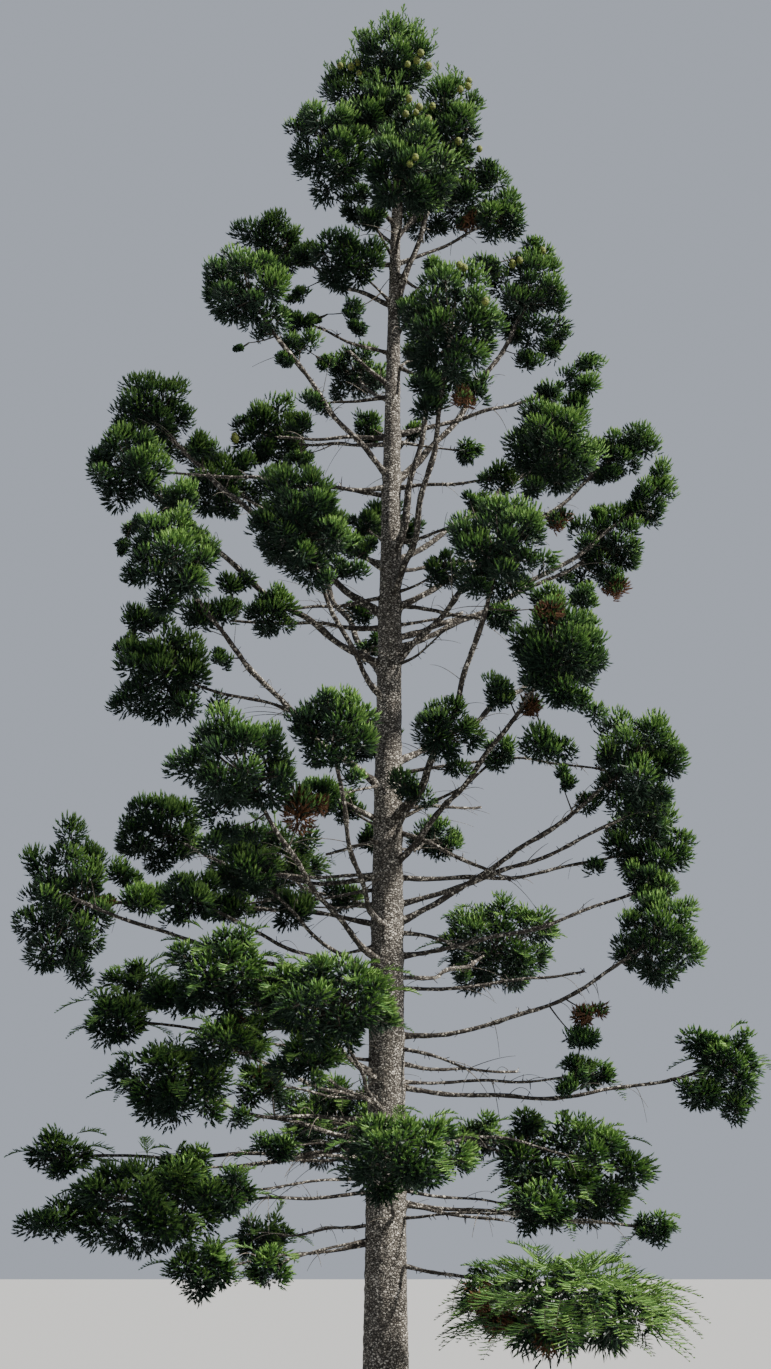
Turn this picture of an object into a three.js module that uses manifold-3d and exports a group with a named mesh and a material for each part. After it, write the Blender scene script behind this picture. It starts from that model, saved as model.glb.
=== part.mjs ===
/**
 * Hoop pine: a whole open-grown tree, about 24 m high, in millimetres with +Z up.
 *
 * The origin is the middle of the flat cut at ground level. The trunk is one tapering solid, and each main
 * bough is one tapering limb. Each mass of foliage is a stem with twigs, a small core and toothed sprays of
 * needles fused on it. A mass keeps to its own space: an ellipsoid, cut by planes on its neighbours' sides.
 */
import * as THREE from 'three';
import { mergeVertices } from 'three/addons/utils/BufferGeometryUtils.js';
import Module from 'manifold-3d';

const wasm = await Module();
wasm.setup();

// Driving dimensions of the trunk, in millimetres
const TREE_HEIGHT = 24000;
const TRUNK_TIP = 22350;
const TRUNK_RADIUS = 350;
const TAPER_POWER = 0.85;
const LEAN_AT_TIP = 220;
const FLARE = 115;
const FLARE_HEIGHT = 480;
const FLARE_BUTTRESSES = 5;
const FLARE_WAVE = 0.3;
const TRUNK_SIDES = 15;
const TRUNK_RINGS = 20;
const RING_CROWDING = 1.5;

// Limbs: the radius at the root grows with the length and the rise, and the tip keeps a share of it
const LIMB_RADIUS = 24;
const LIMB_RADIUS_PER_METRE = 8;
const LEVEL_LIMB_SHARE = 0.6;
const STEEP_LIMB_GAIN = 0.55;
const LIMB_TIP_SHARE = 0.6;
const LIMB_SIDES = 6;
const LIMB_STEPS = 5;
const STEM_SIDES = 4;
const STEM_STEPS = 4;
const SHORT_STEM_STEPS = 2;
const BOUGH_ENDS_INSIDE = 0.8;

// Foliage: cores, sprays and cones, as shares of their mass's space or in millimetres
const CORE_SHARE = 0.68;
const CORE_ROUGHNESS = 0.2;
const SPRAY_REACH = 0.99;
const SPRAY_TRIES = [1, 0.85, 0.72];
const SPRAY_ROOT_SHARE = 0.3;
const SPRAY_HALF_WIDTH = 0.38;
const SPRAY_HALF_THICKNESS = 0.06;
const FEWEST_SPRAYS = 3;
const SPRAYS_PER_SQUARE_METRE = 0.62;
const TWIG_ROOT_RADIUS = 19;
const TWIG_TIP_RADIUS = 7;
const TWIG_SUNK_SHARE = 0.1;
const CONE_RADIUS = 62;
const CONE_BEHIND_TIP = 100;
const CONES_PER_MASS = 2;

// Clearances in millimetres, and the step and range at which limbs are looked for near a spray
const GAP = 0.3;
const CUT_GAP = 0.4;
const BOUGH_CUT_END = 0.03;
const SPACE_MARGIN = 6;
const LIMB_MARGIN = 12;
const TRACE_STEP = 100;
const HAZARD_RANGE = 800;
const TIDY_TOLERANCE = 0.05;
const MERGE_TOLERANCE = 1e-3;

const SEED = 4100;
const GOLDEN_TURN = Math.PI * (3 - Math.sqrt(5));

/**
 * The masses of foliage, from the crown's top down, one a row: name, root, bearing, reach, height, radius,
 * half height, sag and bough. The root is the height at which the limb leaves the trunk. The bearing is in
 * degrees anticlockwise from +X, and the reach is how far out the mass's middle lies from the origin.
 * The radius and half height are those of its space, and the sag is how far the limb's bend hangs below a
 * straight line. A limb whose bough is true is a main bough with a solid of its own.
 */
const MASSES = [
  ['top_1', 22350, 0, 150, 23080, 880, 920, 0, false],
  ['top_2', 21100, 124, 750, 22800, 800, 900, 120, false],
  ['top_3', 20500, -9, 1150, 21850, 640, 980, 150, false],
  ['top_4', 19900, -142, 1100, 20950, 840, 1020, 150, false],
  ['top_5', 19300, -77, 1450, 20200, 880, 1000, 180, false],
  ['top_6', 19700, 52, 1550, 21300, 900, 1020, 180, false],
  ['top_7', 19150, 9, 2050, 20250, 560, 640, 150, false],
  ['top_8', 18400, -139, 850, 18950, 700, 680, 80, false],
  ['left_1', 18350, 153, 2200, 20050, 800, 660, 180, false],
  ['left_2', 15200, -144, 2800, 17850, 880, 840, 300, true],
  ['left_3', 15850, 138, 2750, 16750, 740, 840, 200, false],
  ['left_4', 12750, 163, 4300, 16850, 840, 860, 400, true],
  ['left_5', 13650, 152, 3200, 15750, 760, 900, 300, false],
  ['left_6', 11900, -164, 4300, 14950, 760, 800, 600, true],
  ['left_7', 11300, -125, 2350, 13750, 840, 1150, 700, true],
  ['left_8', 9900, -146, 4000, 13050, 880, 950, 850, true],
  ['left_9', 11000, -174, 3600, 11750, 920, 1120, 300, false],
  ['left_10', 7700, -104, 3300, 10100, 800, 740, 1500, false],
  ['left_11', 7050, -125, 3700, 9600, 1080, 960, 650, true],
  ['left_12', 8500, 157, 4150, 9600, 860, 860, 800, false],
  ['left_13', 7700, 179, 5050, 8050, 820, 1450, -350, false],
  ['right_1', 15100, 20, 2850, 18950, 800, 1150, 750, false],
  ['right_2', 13100, -66, 2600, 16900, 960, 1130, 1500, true],
  ['right_3', 11950, -24, 3000, 15300, 860, 920, 700, true],
  ['right_4', 12400, 20, 4050, 14500, 780, 880, 350, false],
  ['right_5', 9300, -58, 3300, 13000, 900, 960, 1400, true],
  ['right_6', 8550, -40, 3450, 11550, 820, 1020, 300, true],
  ['right_7', 8900, -60, 1850, 10450, 620, 660, 150, false],
  ['right_8', 7650, -9, 4000, 10100, 840, 840, 300, true],
  ['right_9', 8500, 12, 4350, 9150, 880, 840, 450, false],
  ['right_10', 6000, -3, 4250, 7500, 840, 900, 900, true],
  ['lower_1', 4700, -103, 3200, 6100, 1080, 800, 300, false],
  ['lower_2', 5350, -143, 3000, 6700, 950, 850, 300, false],
  ['lower_3', 4400, -159, 3400, 5150, 1100, 720, 250, false],
  ['lower_4', 5250, 2, 5350, 5600, 680, 640, 700, true],
  ['lower_5', 3050, -86, 3200, 4000, 1100, 740, 250, false],
  ['lower_6', 3650, -167, 3600, 3450, 1400, 800, 100, false],
  ['lower_7', 4650, 12, 3000, 4000, 1300, 1000, -50, false],
  ['lower_8', 2600, -35, 3100, 1950, 1600, 750, -100, false],
  ['back_1', 16600, 104, 2250, 18100, 660, 640, 250, false],
  ['back_2', 11600, 117, 3350, 15400, 920, 1000, 350, false],
  ['back_3', 13700, 42, 4000, 16800, 880, 920, 300, false],
  ['back_4', 10300, 47, 4700, 13200, 920, 980, 350, false],
  ['back_5', 8000, 118, 4400, 9400, 1150, 950, 350, false],
  ['back_6', 6900, 64, 4600, 8000, 1150, 950, 400, false],
  ['back_7', 4700, 100, 4300, 5000, 1350, 850, 300, false],
];

/** Masses near the crown's top, which carry the ripe cones. */
const CONE_BEARERS = ['top_1', 'top_2', 'top_3', 'top_5'];

const COLOURS = {
  bark: { color: 0x8a7c6c, roughness: 0.95, metalness: 0 },
  bough: { color: 0x7d6f60, roughness: 0.92, metalness: 0 },
  foliage: { color: 0x2f4a1c, roughness: 0.75, metalness: 0 },
};

/** A repeatable stream of numbers from 0 to 1. */
function seeded(seed) {
  let state = seed;
  return () => {
    state = (state * 48271) % 2147483647;
    return state / 2147483647;
  };
}

/** A geometry stripped to its corners' places, with its shared corners merged. */
function mergedCorners(geometry) {
  geometry.deleteAttribute('normal');
  geometry.deleteAttribute('uv');
  return mergeVertices(geometry, MERGE_TOLERANCE);
}

/** A closed geometry as a solid. */
function solidOf(geometry) {
  const merged = mergedCorners(geometry);
  return new wasm.Manifold(new wasm.Mesh({
    numProp: 3,
    vertProperties: new Float32Array(merged.attributes.position.array),
    triVerts: new Uint32Array(merged.index.array),
  }));
}

/** The middle of the trunk at a height: upright at the ground, and leaning more towards the tip. */
function trunkMiddle(height) {
  return new THREE.Vector3(LEAN_AT_TIP * (height / TRUNK_TIP) ** 2, 0, height);
}

/** The trunk's radius at a height, without its flare. */
function trunkRadius(height) {
  return TRUNK_RADIUS * (1 - height / TREE_HEIGHT) ** TAPER_POWER;
}

/** The trunk, or the same shape grown by a clearance. */
function trunkSolid(growth = 0) {
  const shape = new THREE.CylinderGeometry(1, 1, 1, TRUNK_SIDES, TRUNK_RINGS);
  const position = shape.attributes.position;
  for (let i = 0; i < position.count; i++) {
    const height = TRUNK_TIP * (position.getY(i) + 0.5) ** RING_CROWDING;
    const across = new THREE.Vector3(position.getX(i), -position.getZ(i), 0);
    const wave = 1 + FLARE_WAVE * Math.cos(FLARE_BUTTRESSES * Math.atan2(across.y, across.x));
    const flare = FLARE * wave * Math.exp(-height / FLARE_HEIGHT);
    const place = trunkMiddle(height).addScaledVector(across, trunkRadius(height) + flare + growth);
    position.setXYZ(i, place.x, place.y, place.z);
  }
  return solidOf(shape);
}

/** A part of a longer curve, from one share of its length to another. */
class Stretch extends THREE.Curve {
  constructor(whole, from, to) {
    super();
    this.whole = whole;
    this.from = from;
    this.to = to;
  }

  getPoint(share, target = new THREE.Vector3()) {
    return this.whole.getPointAt(this.from + (this.to - this.from) * share, target);
  }
}

/** A closed round bar along a curve, whose radius follows the share of its length. */
function barSolid(curve, radiusAt, sides, steps, growth = 0) {
  const shape = new THREE.CylinderGeometry(1, 1, 1, sides, steps);
  const { normals, binormals } = curve.computeFrenetFrames(steps);
  const position = shape.attributes.position;
  for (let i = 0; i < position.count; i++) {
    const share = position.getY(i) + 0.5;
    const step = Math.round(share * steps);
    const radius = radiusAt(share) + growth;
    const place = curve.getPointAt(share);
    place.addScaledVector(binormals[step], radius * position.getX(i));
    place.addScaledVector(normals[step], radius * position.getZ(i));
    position.setXYZ(i, place.x, place.y, place.z);
  }
  return solidOf(shape);
}

/** The middle of a mass's space. */
function middleOf(mass) {
  const angle = THREE.MathUtils.degToRad(mass.bearing);
  return new THREE.Vector3(mass.reach * Math.cos(angle), mass.reach * Math.sin(angle), mass.height);
}

/** The line of a mass's limb, from the trunk's middle to the middle of the mass. */
function limbLine(mass) {
  const root = trunkMiddle(mass.root);
  const end = middleOf(mass);
  const bend = root.clone().lerp(end, 0.5);
  bend.z -= mass.sag;
  return new THREE.QuadraticBezierCurve3(root, bend, end);
}

/** The radius of a mass's limb at a share of its line: long and steep limbs are the thickest. */
function limbRadius(mass, share) {
  const length = mass.line.getLength();
  const rise = Math.abs(mass.height - mass.root) / length;
  const rootRadius = LIMB_RADIUS + (LIMB_RADIUS_PER_METRE * length) / 1000;
  return rootRadius * (LEVEL_LIMB_SHARE + STEEP_LIMB_GAIN * rise) * (1 - (1 - LIMB_TIP_SHARE) * share);
}

/** Where a mass's stem begins on its limb's line: past its bough's tip, on the trunk's tip, or in it. */
function stemStart(mass) {
  const length = mass.line.getLength();
  if (mass.bough) {
    return 1 - (BOUGH_ENDS_INSIDE * mass.radius) / length + GAP / length;
  }
  return mass.root === TRUNK_TIP ? GAP / length : 0;
}

/** A stretch of a mass's limb as a solid. */
function limbSolid(mass, from, to, sides, steps, growth = 0) {
  const stretch = new Stretch(mass.line, from, to);
  return barSolid(stretch, (share) => limbRadius(mass, from + (to - from) * share), sides, steps, growth);
}

/** A mass's own bough, which ends a distance before its stem begins. */
function boughSolid(mass, before, growth = 0) {
  const tip = mass.stemFrom - before / mass.line.getLength();
  return limbSolid(mass, 0, tip, LIMB_SIDES, LIMB_STEPS, growth);
}

/** A mass's own stem, from its bough's tip or from the trunk to the middle of its space. */
function stemSolid(mass, growth = 0) {
  const steps = mass.bough ? SHORT_STEM_STEPS : STEM_STEPS;
  return limbSolid(mass, mass.stemFrom, 1, STEM_SIDES, steps, growth);
}

/** The planes that part a mass's space from each neighbour's: each passes between the two middles. */
function spacePlanes(mass, all) {
  const support = (one, way) => Math.hypot(one.radius * way.x, one.radius * way.y, one.half * way.z);
  const besideTrunk = mass.root === TRUNK_TIP ? [] : [trunkPlane(mass)];
  const betweenMasses = all.filter((other) => other !== mass).map((other) => {
    const way = other.middle.clone().sub(mass.middle);
    const distance = way.length();
    way.normalize();
    const own = support(mass, way);
    const split = (distance * own) / (own + support(other, way));
    const between = mass.middle.clone().addScaledVector(way, split);
    return new THREE.Plane().setFromNormalAndCoplanarPoint(way, between);
  });
  return [...besideTrunk, ...betweenMasses];
}

/** The upright plane that touches the trunk on a mass's side. */
function trunkPlane(mass) {
  const low = mass.height - mass.half;
  const axis = trunkMiddle(mass.height);
  const way = axis.clone().sub(mass.middle).setZ(0).normalize();
  const touch = axis.addScaledVector(way, -trunkRadius(low) - 2 * SPACE_MARGIN);
  return new THREE.Plane().setFromNormalAndCoplanarPoint(way, touch);
}

/** Whether a point is in a mass's space. */
function inSpace(mass, point) {
  const way = point.clone().sub(mass.middle);
  const inside = Math.hypot(way.x / mass.radius, way.y / mass.radius, way.z / mass.half) <= 1;
  return inside && mass.planes.every((plane) => plane.distanceToPoint(point) < -SPACE_MARGIN);
}

/** Points along a limb with its radius there, to keep leaves off it. */
function limbTrace(mass) {
  const count = Math.ceil(mass.line.getLength() / TRACE_STEP);
  const points = mass.line.getSpacedPoints(count);
  return points.map((point, i) => ({ point, radius: limbRadius(mass, i / count) }));
}

/** Points up the trunk with its radius there. */
function trunkTrace() {
  const count = Math.ceil(TRUNK_TIP / TRACE_STEP);
  return Array.from({ length: count + 1 }, (_, i) => {
    const height = (TRUNK_TIP * i) / count;
    const radius = trunkRadius(height) + FLARE * Math.exp(-height / FLARE_HEIGHT);
    return { point: trunkMiddle(height), radius };
  });
}

/** Whether a straight piece from one point to another stays clear of a mass's neighbouring limbs. */
function clearOfLimbs(mass, from, to, thickness) {
  const line = new THREE.Line3(from, to);
  const nearest = new THREE.Vector3();
  return mass.hazards.every(({ point, radius }) => {
    line.closestPointToPoint(point, true, nearest);
    return nearest.distanceTo(point) > radius + thickness + LIMB_MARGIN;
  });
}

/** How far the planes round a mass let it go from its middle in one direction. */
function roomInWay(mass, way) {
  return mass.planes.reduce((room, plane) => {
    const slope = plane.normal.dot(way);
    const distance = -plane.distanceToPoint(mass.middle) - SPACE_MARGIN;
    return slope > 0 ? Math.min(room, distance / slope) : room;
  }, Infinity);
}

/** A mass's core: a small rough ball of needles, held back by the planes round its space. */
function coreSolid(mass, random) {
  const shape = mergedCorners(new THREE.IcosahedronGeometry(1, 0));
  const position = shape.attributes.position;
  for (let i = 0; i < position.count; i++) {
    const way = new THREE.Vector3().fromBufferAttribute(position, i).multiply(mass.size);
    const length = way.length() * CORE_SHARE * (1 + CORE_ROUGHNESS * (2 * random() - 1));
    way.normalize();
    const place = mass.middle.clone().addScaledVector(way, Math.min(length, roomInWay(mass, way)));
    position.setXYZ(i, place.x, place.y, place.z);
  }
  return solidOf(shape);
}

/** The outline of a toothed spray along its length: share of the length, and share of the half width. */
const SPRAY_OUTLINE = [[1, 0], [0.74, 0.5], [0.66, 1], [0, 0], [0.56, -1], [0.72, -0.5]];

/** A toothed spray of needles from its sunk root to its tip: a flat double cone on the outline above. */
function spraySolid(root, tip, roll) {
  const profile = [[0, -1], [1, 0], [0, 1]].map(([x, y]) => new THREE.Vector2(x, y));
  const shape = new THREE.LatheGeometry(profile, SPRAY_OUTLINE.length);
  const way = tip.clone().sub(root);
  const length = way.length();
  way.normalize();
  const side = new THREE.Vector3(0, 0, 1).cross(way).normalize().applyAxisAngle(way, roll);
  const face = way.clone().cross(side);
  const position = shape.attributes.position;
  for (let i = 0; i < position.count; i++) {
    const turn = Math.atan2(position.getX(i), position.getZ(i)) / (2 * Math.PI);
    const corner = Math.round(turn * SPRAY_OUTLINE.length + SPRAY_OUTLINE.length) % SPRAY_OUTLINE.length;
    const level = position.getY(i);
    const onRim = Math.abs(level) < 0.5;
    const [along, across] = onRim ? SPRAY_OUTLINE[corner] : [0.5, 0];
    const place = root.clone().addScaledVector(way, along * length);
    place.addScaledVector(side, across * SPRAY_HALF_WIDTH * length);
    place.addScaledVector(face, onRim ? 0 : level * SPRAY_HALF_THICKNESS * length);
    position.setXYZ(i, place.x, place.y, place.z);
  }
  return solidOf(shape);
}

/** The sprays of a mass: spread evenly on all sides, each rooted deep in the core on a twig of its own. */
function spraysOf(mass, random) {
  const turn = random() * 2 * Math.PI;
  const surface = (4 * Math.PI * mass.radius * mass.half) / 1e6;
  const count = Math.round(FEWEST_SPRAYS + SPRAYS_PER_SQUARE_METRE * surface);
  const found = [];
  for (let i = 0; i < count; i++) {
    const level = 1 - (2 * i + 1) / count;
    const ring = Math.sqrt(1 - level * level);
    const angle = turn + i * GOLDEN_TURN;
    const roll = random() * Math.PI;
    for (const share of SPRAY_TRIES) {
      const edge = new THREE.Vector3(ring * Math.cos(angle), ring * Math.sin(angle), level);
      const tip = edge.multiply(mass.size).multiplyScalar(SPRAY_REACH * share).add(mass.middle);
      const root = mass.middle.clone().lerp(tip, SPRAY_ROOT_SHARE);
      if (fits(mass, root, tip)) {
        found.push({ solid: spraySolid(root, tip, roll), twig: twigSolid(mass.middle, root), tip, root });
        break;
      }
    }
  }
  return found;
}

/** A three-sided twig from one point to another, run a little way into the spray at its end. */
function twigSolid(from, to) {
  const line = new THREE.LineCurve3(from, to.clone().lerp(from, -TWIG_SUNK_SHARE));
  return barSolid(line, (share) => THREE.MathUtils.lerp(TWIG_ROOT_RADIUS, TWIG_TIP_RADIUS, share), 3, 1);
}

/** Whether a spray stays in its mass's space and off every limb. */
function fits(mass, root, tip) {
  const length = root.distanceTo(tip);
  const width = SPRAY_HALF_WIDTH * length;
  const wide = root.clone().lerp(tip, 0.5);
  const roomy = mass.planes.every((plane) => plane.distanceToPoint(wide) < -width - SPACE_MARGIN);
  return roomy && inSpace(mass, tip) && clearOfLimbs(mass, root, tip, width);
}

/** Cones on the highest sprays of a mass, each sunk on its spray's tip. */
function coneSolids(mass, allSprays) {
  const high = [...allSprays].sort((a, b) => b.tip.z - a.tip.z).slice(0, CONES_PER_MASS);
  return high.map(({ root, tip }) => {
    const middle = tip.clone().lerp(root, CONE_BEHIND_TIP / root.distanceTo(tip));
    const cone = new THREE.IcosahedronGeometry(CONE_RADIUS, 0);
    return solidOf(cone.translate(middle.x, middle.y, middle.z));
  });
}

/** Keeps the largest body, so that a sealed hollow is filled and a loose scrap is dropped. */
function oneBody(solid) {
  const bodies = solid.simplify(TIDY_TOLERANCE).decompose();
  return bodies.reduce((a, b) => (a.volume() > b.volume() ? a : b));
}

/** One mass of foliage, cut clear of the trunk and of every other limb. */
function massSolid(mass, index, cutters) {
  const random = seeded(SEED + index);
  const stem = stemSolid(mass);
  const core = coreSolid(mass, random);
  const sprays = spraysOf(mass, random);
  const cones = CONE_BEARERS.includes(mass.name) ? coneSolids(mass, sprays) : [];
  const joined = wasm.Manifold.union([
    stem, core, ...cones, ...sprays.map((spray) => spray.twig), ...sprays.map((spray) => spray.solid),
  ]);
  const near = cutters.filter((cutter) => cutter.owner !== mass && cutter.box.intersectsBox(mass.box));
  return oneBody(near.reduce((solid, cutter) => solid.subtract(cutter.solid), joined));
}

/** The box round a solid. */
function boxOf(solid) {
  const { min, max } = solid.boundingBox();
  return new THREE.Box3(new THREE.Vector3(...min), new THREE.Vector3(...max));
}

/** A named mesh of a solid, placed at a point with its corners relative to that point. */
function meshOf(name, solid, place, look) {
  const mesh = solid.translate([-place.x, -place.y, -place.z]).getMesh();
  const geometry = new THREE.BufferGeometry();
  geometry.setAttribute('position', new THREE.BufferAttribute(new Float32Array(mesh.vertProperties), 3));
  geometry.setIndex(new THREE.BufferAttribute(new Uint32Array(mesh.triVerts), 1));
  geometry.computeVertexNormals();
  const piece = new THREE.Mesh(geometry, new THREE.MeshStandardMaterial(look));
  piece.name = name;
  piece.position.copy(place);
  return piece;
}

/** The rows of the table as masses, each with its middle, its limb's line and what bounds its space. */
function readMasses() {
  const masses = MASSES.map(([name, root, bearing, reach, height, radius, half, sag, bough]) => (
    { name, root, bearing, reach, height, radius, half, sag, bough }
  ));
  for (const mass of masses) {
    mass.size = new THREE.Vector3(mass.radius, mass.radius, mass.half);
    mass.middle = middleOf(mass);
    mass.line = limbLine(mass);
    mass.stemFrom = stemStart(mass);
    mass.trace = limbTrace(mass);
    mass.box = new THREE.Box3().setFromCenterAndSize(mass.middle, mass.size.clone().multiplyScalar(2));
    mass.box.union(boxOf(stemSolid(mass)));
  }
  const upTheTrunk = trunkTrace();
  for (const mass of masses) {
    const range = Math.max(mass.radius, mass.half) + HAZARD_RANGE;
    const others = masses.filter((other) => other !== mass).flatMap((other) => other.trace);
    const ownBough = mass.bough ? mass.trace.filter((_, i, all) => i / all.length < mass.stemFrom) : [];
    mass.planes = spacePlanes(mass, masses);
    mass.hazards = [...others, ...ownBough, ...upTheTrunk].filter(
      ({ point }) => point.distanceTo(mass.middle) < range,
    );
  }
  return masses;
}

/** What masses are cut clear of: the trunk, every bough and every other mass's stem, a little grown. */
function cuttersOf(masses, trunkGrown) {
  const cutterOf = (solid, owner) => ({ solid, owner, box: boxOf(solid) });
  const withBough = masses.filter((mass) => mass.bough);
  return [
    cutterOf(trunkGrown, null),
    ...withBough.map((mass) => cutterOf(boughSolid(mass, BOUGH_CUT_END, CUT_GAP), null)),
    ...masses.map((mass) => cutterOf(stemSolid(mass, CUT_GAP), mass)),
  ];
}

/** The whole tree: the trunk, the main boughs, and the masses of foliage. */
function hoopPine() {
  const masses = readMasses();
  const trunkGrown = trunkSolid(CUT_GAP);
  const cutters = cuttersOf(masses, trunkGrown);
  const tree = new THREE.Group();
  tree.add(meshOf('trunk', trunkSolid(), new THREE.Vector3(), COLOURS.bark));
  for (const mass of masses.filter((one) => one.bough)) {
    const bough = oneBody(boughSolid(mass, GAP).subtract(trunkGrown));
    tree.add(meshOf(`bough_${mass.name}`, bough, mass.line.getPoint(0), COLOURS.bough));
  }
  masses.forEach((mass, index) => {
    const solid = massSolid(mass, index, cutters);
    tree.add(meshOf(`foliage_${mass.name}`, solid, mass.middle, COLOURS.foliage));
  });
  return tree;
}

export default hoopPine();
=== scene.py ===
"""Hoop pine: the looks of a whole open-grown tree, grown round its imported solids.

All sizes are in metres, in the frame of the solids: the origin is the middle of the flat cut at the ground,
and +Z is up. The trunk and the limbs get the bark's relief. Each mass of foliage grows again from its limb by
the rule of the solids: twigs lead evenly to all sides of the mass's space. They end in round tufts, covered
with brushes of short shoots that are set with needles.
"""
import logging
import math
import sys
from dataclasses import dataclass, field
from enum import Enum
from functools import cache
from typing import Self

import bpy
import numpy as np
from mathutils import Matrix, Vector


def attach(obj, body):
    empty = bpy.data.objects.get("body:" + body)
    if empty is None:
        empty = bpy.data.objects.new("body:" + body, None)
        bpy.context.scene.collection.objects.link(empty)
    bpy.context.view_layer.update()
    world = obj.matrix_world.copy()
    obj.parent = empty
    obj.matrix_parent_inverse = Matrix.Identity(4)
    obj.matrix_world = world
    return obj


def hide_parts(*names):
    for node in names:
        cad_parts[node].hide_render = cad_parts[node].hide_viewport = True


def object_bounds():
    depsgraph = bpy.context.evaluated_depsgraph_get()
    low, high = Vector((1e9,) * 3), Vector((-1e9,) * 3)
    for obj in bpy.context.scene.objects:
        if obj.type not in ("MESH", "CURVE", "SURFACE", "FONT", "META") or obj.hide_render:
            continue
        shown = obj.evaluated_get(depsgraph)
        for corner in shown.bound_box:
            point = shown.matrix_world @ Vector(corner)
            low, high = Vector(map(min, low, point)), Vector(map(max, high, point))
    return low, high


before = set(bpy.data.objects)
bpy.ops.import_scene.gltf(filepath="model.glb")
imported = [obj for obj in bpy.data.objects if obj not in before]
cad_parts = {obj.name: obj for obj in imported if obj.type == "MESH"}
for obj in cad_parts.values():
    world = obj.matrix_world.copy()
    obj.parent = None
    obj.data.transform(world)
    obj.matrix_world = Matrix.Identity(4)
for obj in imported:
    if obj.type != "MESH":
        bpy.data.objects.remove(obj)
CAD_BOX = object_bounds()

log = logging.getLogger("hoop_pine")

Array = np.ndarray
Socket = bpy.types.NodeSocket
Material = bpy.types.Material
Colour = tuple[float, float, float]
Stop = tuple[float, Colour]
MeshArrays = tuple[Array, Array]

# The least and the most of what is drawn by chance
Pair = tuple[float, float]

BODY = "root"

# How far shoots may stand out past the solids' box along each axis
BOX_SLACK = np.array([0.22, 0.16, 0.4])

# The trunk's driving dimensions, as in the solids
TREE_HEIGHT = 24.0
TRUNK_TIP = 22.35
TRUNK_RADIUS = 0.35
TAPER_POWER = 0.85
LEAN_AT_TIP = 0.22
FLARE = 0.115
FLARE_HEIGHT = 0.48
FLARE_BUTTRESSES = 5
FLARE_WAVE = 0.3

# The limbs' rule, as in the solids
LIMB_RADIUS = 0.024
LIMB_RADIUS_PER_METRE = 0.008
LEVEL_LIMB_SHARE = 0.6
STEEP_LIMB_GAIN = 0.55
LIMB_TIP_SHARE = 0.6

# The rule that spreads twigs over a mass, as in the solids
SEED = 4100
CORE_CORNERS = 12
FEWEST_SPRAYS = 3
SPRAYS_PER_SQUARE_METRE = 0.62
SPRAY_REACH = 0.99
SMALLER_TRIES = (0.85, 0.72)
SPACE_MARGIN = 0.006
GOLDEN_TURN = math.pi * (3.0 - math.sqrt(5.0))

# The solids' chance numbers: each state is the factor times the last, modulo a prime
DRAW_FACTOR = 48271
DRAW_MODULUS = 2147483647

# Where the chance numbers of the limbs' bark and of the masses begin, and how far out a mass grows
LIMB_SEED = 200
MASS_SEED = 7 * SEED
MASS_REACH = (0.78, 1.13)

# Directions, the rises from which one counts as steep, and the shortest length that is divided by
UP = np.array([0.0, 0.0, 1.0])
ACROSS = np.array([1.0, 0.0, 0.0])
LEVEL = np.array([1.0, 1.0, 0.0])
# The sunny side: the needles' painted light is dealt by how the shoots face it
SUNNY_SIDE = np.array([0.64, -0.24, 0.73])
STEEP_WAY = 0.92
STEEP_PATH = 0.75
SHORTEST = 1e-9


@dataclass(frozen=True)
class BrushHabit:
    """How the brushes of shoots grow in a kind of mass.

    The spread is the half angle of a brush's fan in degrees, and the lift turns its axis up. The curl bends a
    shoot's end up by a share of its length, and flatten keeps a share of its rise. The spires are the forked
    upright shoots on a large mass, and the fronds the feather-like twigs for each square metre.
    """

    reach: float
    shoots: int
    spread: float
    per_square_metre: float
    lift: float
    curl: float
    flatten: float = 1.0
    half_width: float = 0.0184
    freshness: float = 0.0
    spires: int = 0
    fronds: float = 0.0


class Habit(Enum):
    """The kinds of mass: rounded, at the top with cones, hanging, flat and shaded, and weeping."""

    TUFT = BrushHabit(reach=0.150, shoots=14, spread=40.0, per_square_metre=12.0, lift=0.5, curl=0.28)
    CROWN = BrushHabit(reach=0.165, shoots=13, spread=38.0, per_square_metre=12.0, lift=0.8, curl=0.3,
                       half_width=0.018, freshness=0.04, spires=36)
    HANGING = BrushHabit(reach=0.19, shoots=11, spread=38.0, per_square_metre=11.0, lift=-0.4, curl=-0.12)
    FAN = BrushHabit(reach=0.155, shoots=13, spread=44.0, per_square_metre=11.0, lift=0.2, curl=0.10,
                     flatten=0.75, half_width=0.019, freshness=0.07, fronds=1.8)
    WEEPING = BrushHabit(reach=0.24, shoots=11, spread=44.0, per_square_metre=5.5, lift=-0.2, curl=-0.15,
                         flatten=0.7, half_width=0.018, freshness=0.10, fronds=9.0)


TUFT, CROWN, HANGING, FAN, WEEPING = Habit


class Tone(Enum):
    """The tones of needle dealt out by shoot: painted light from the painted shade inside to painted-sunlit,
    fresh tips, and the dead.
    """

    SHADE = "shade"
    DEEP = "deep"
    GREEN = "green"
    FRESH = "fresh"
    DEAD = "dead"


# The places of three tones in their order
DEEP_TONE, GREEN_TONE, DEAD_TONE = (list(Tone).index(tone) for tone in (Tone.DEEP, Tone.GREEN, Tone.DEAD))

# The light from which each tone after the first is taken
TONE_STEPS = (-0.06, 0.25, 0.55)


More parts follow.
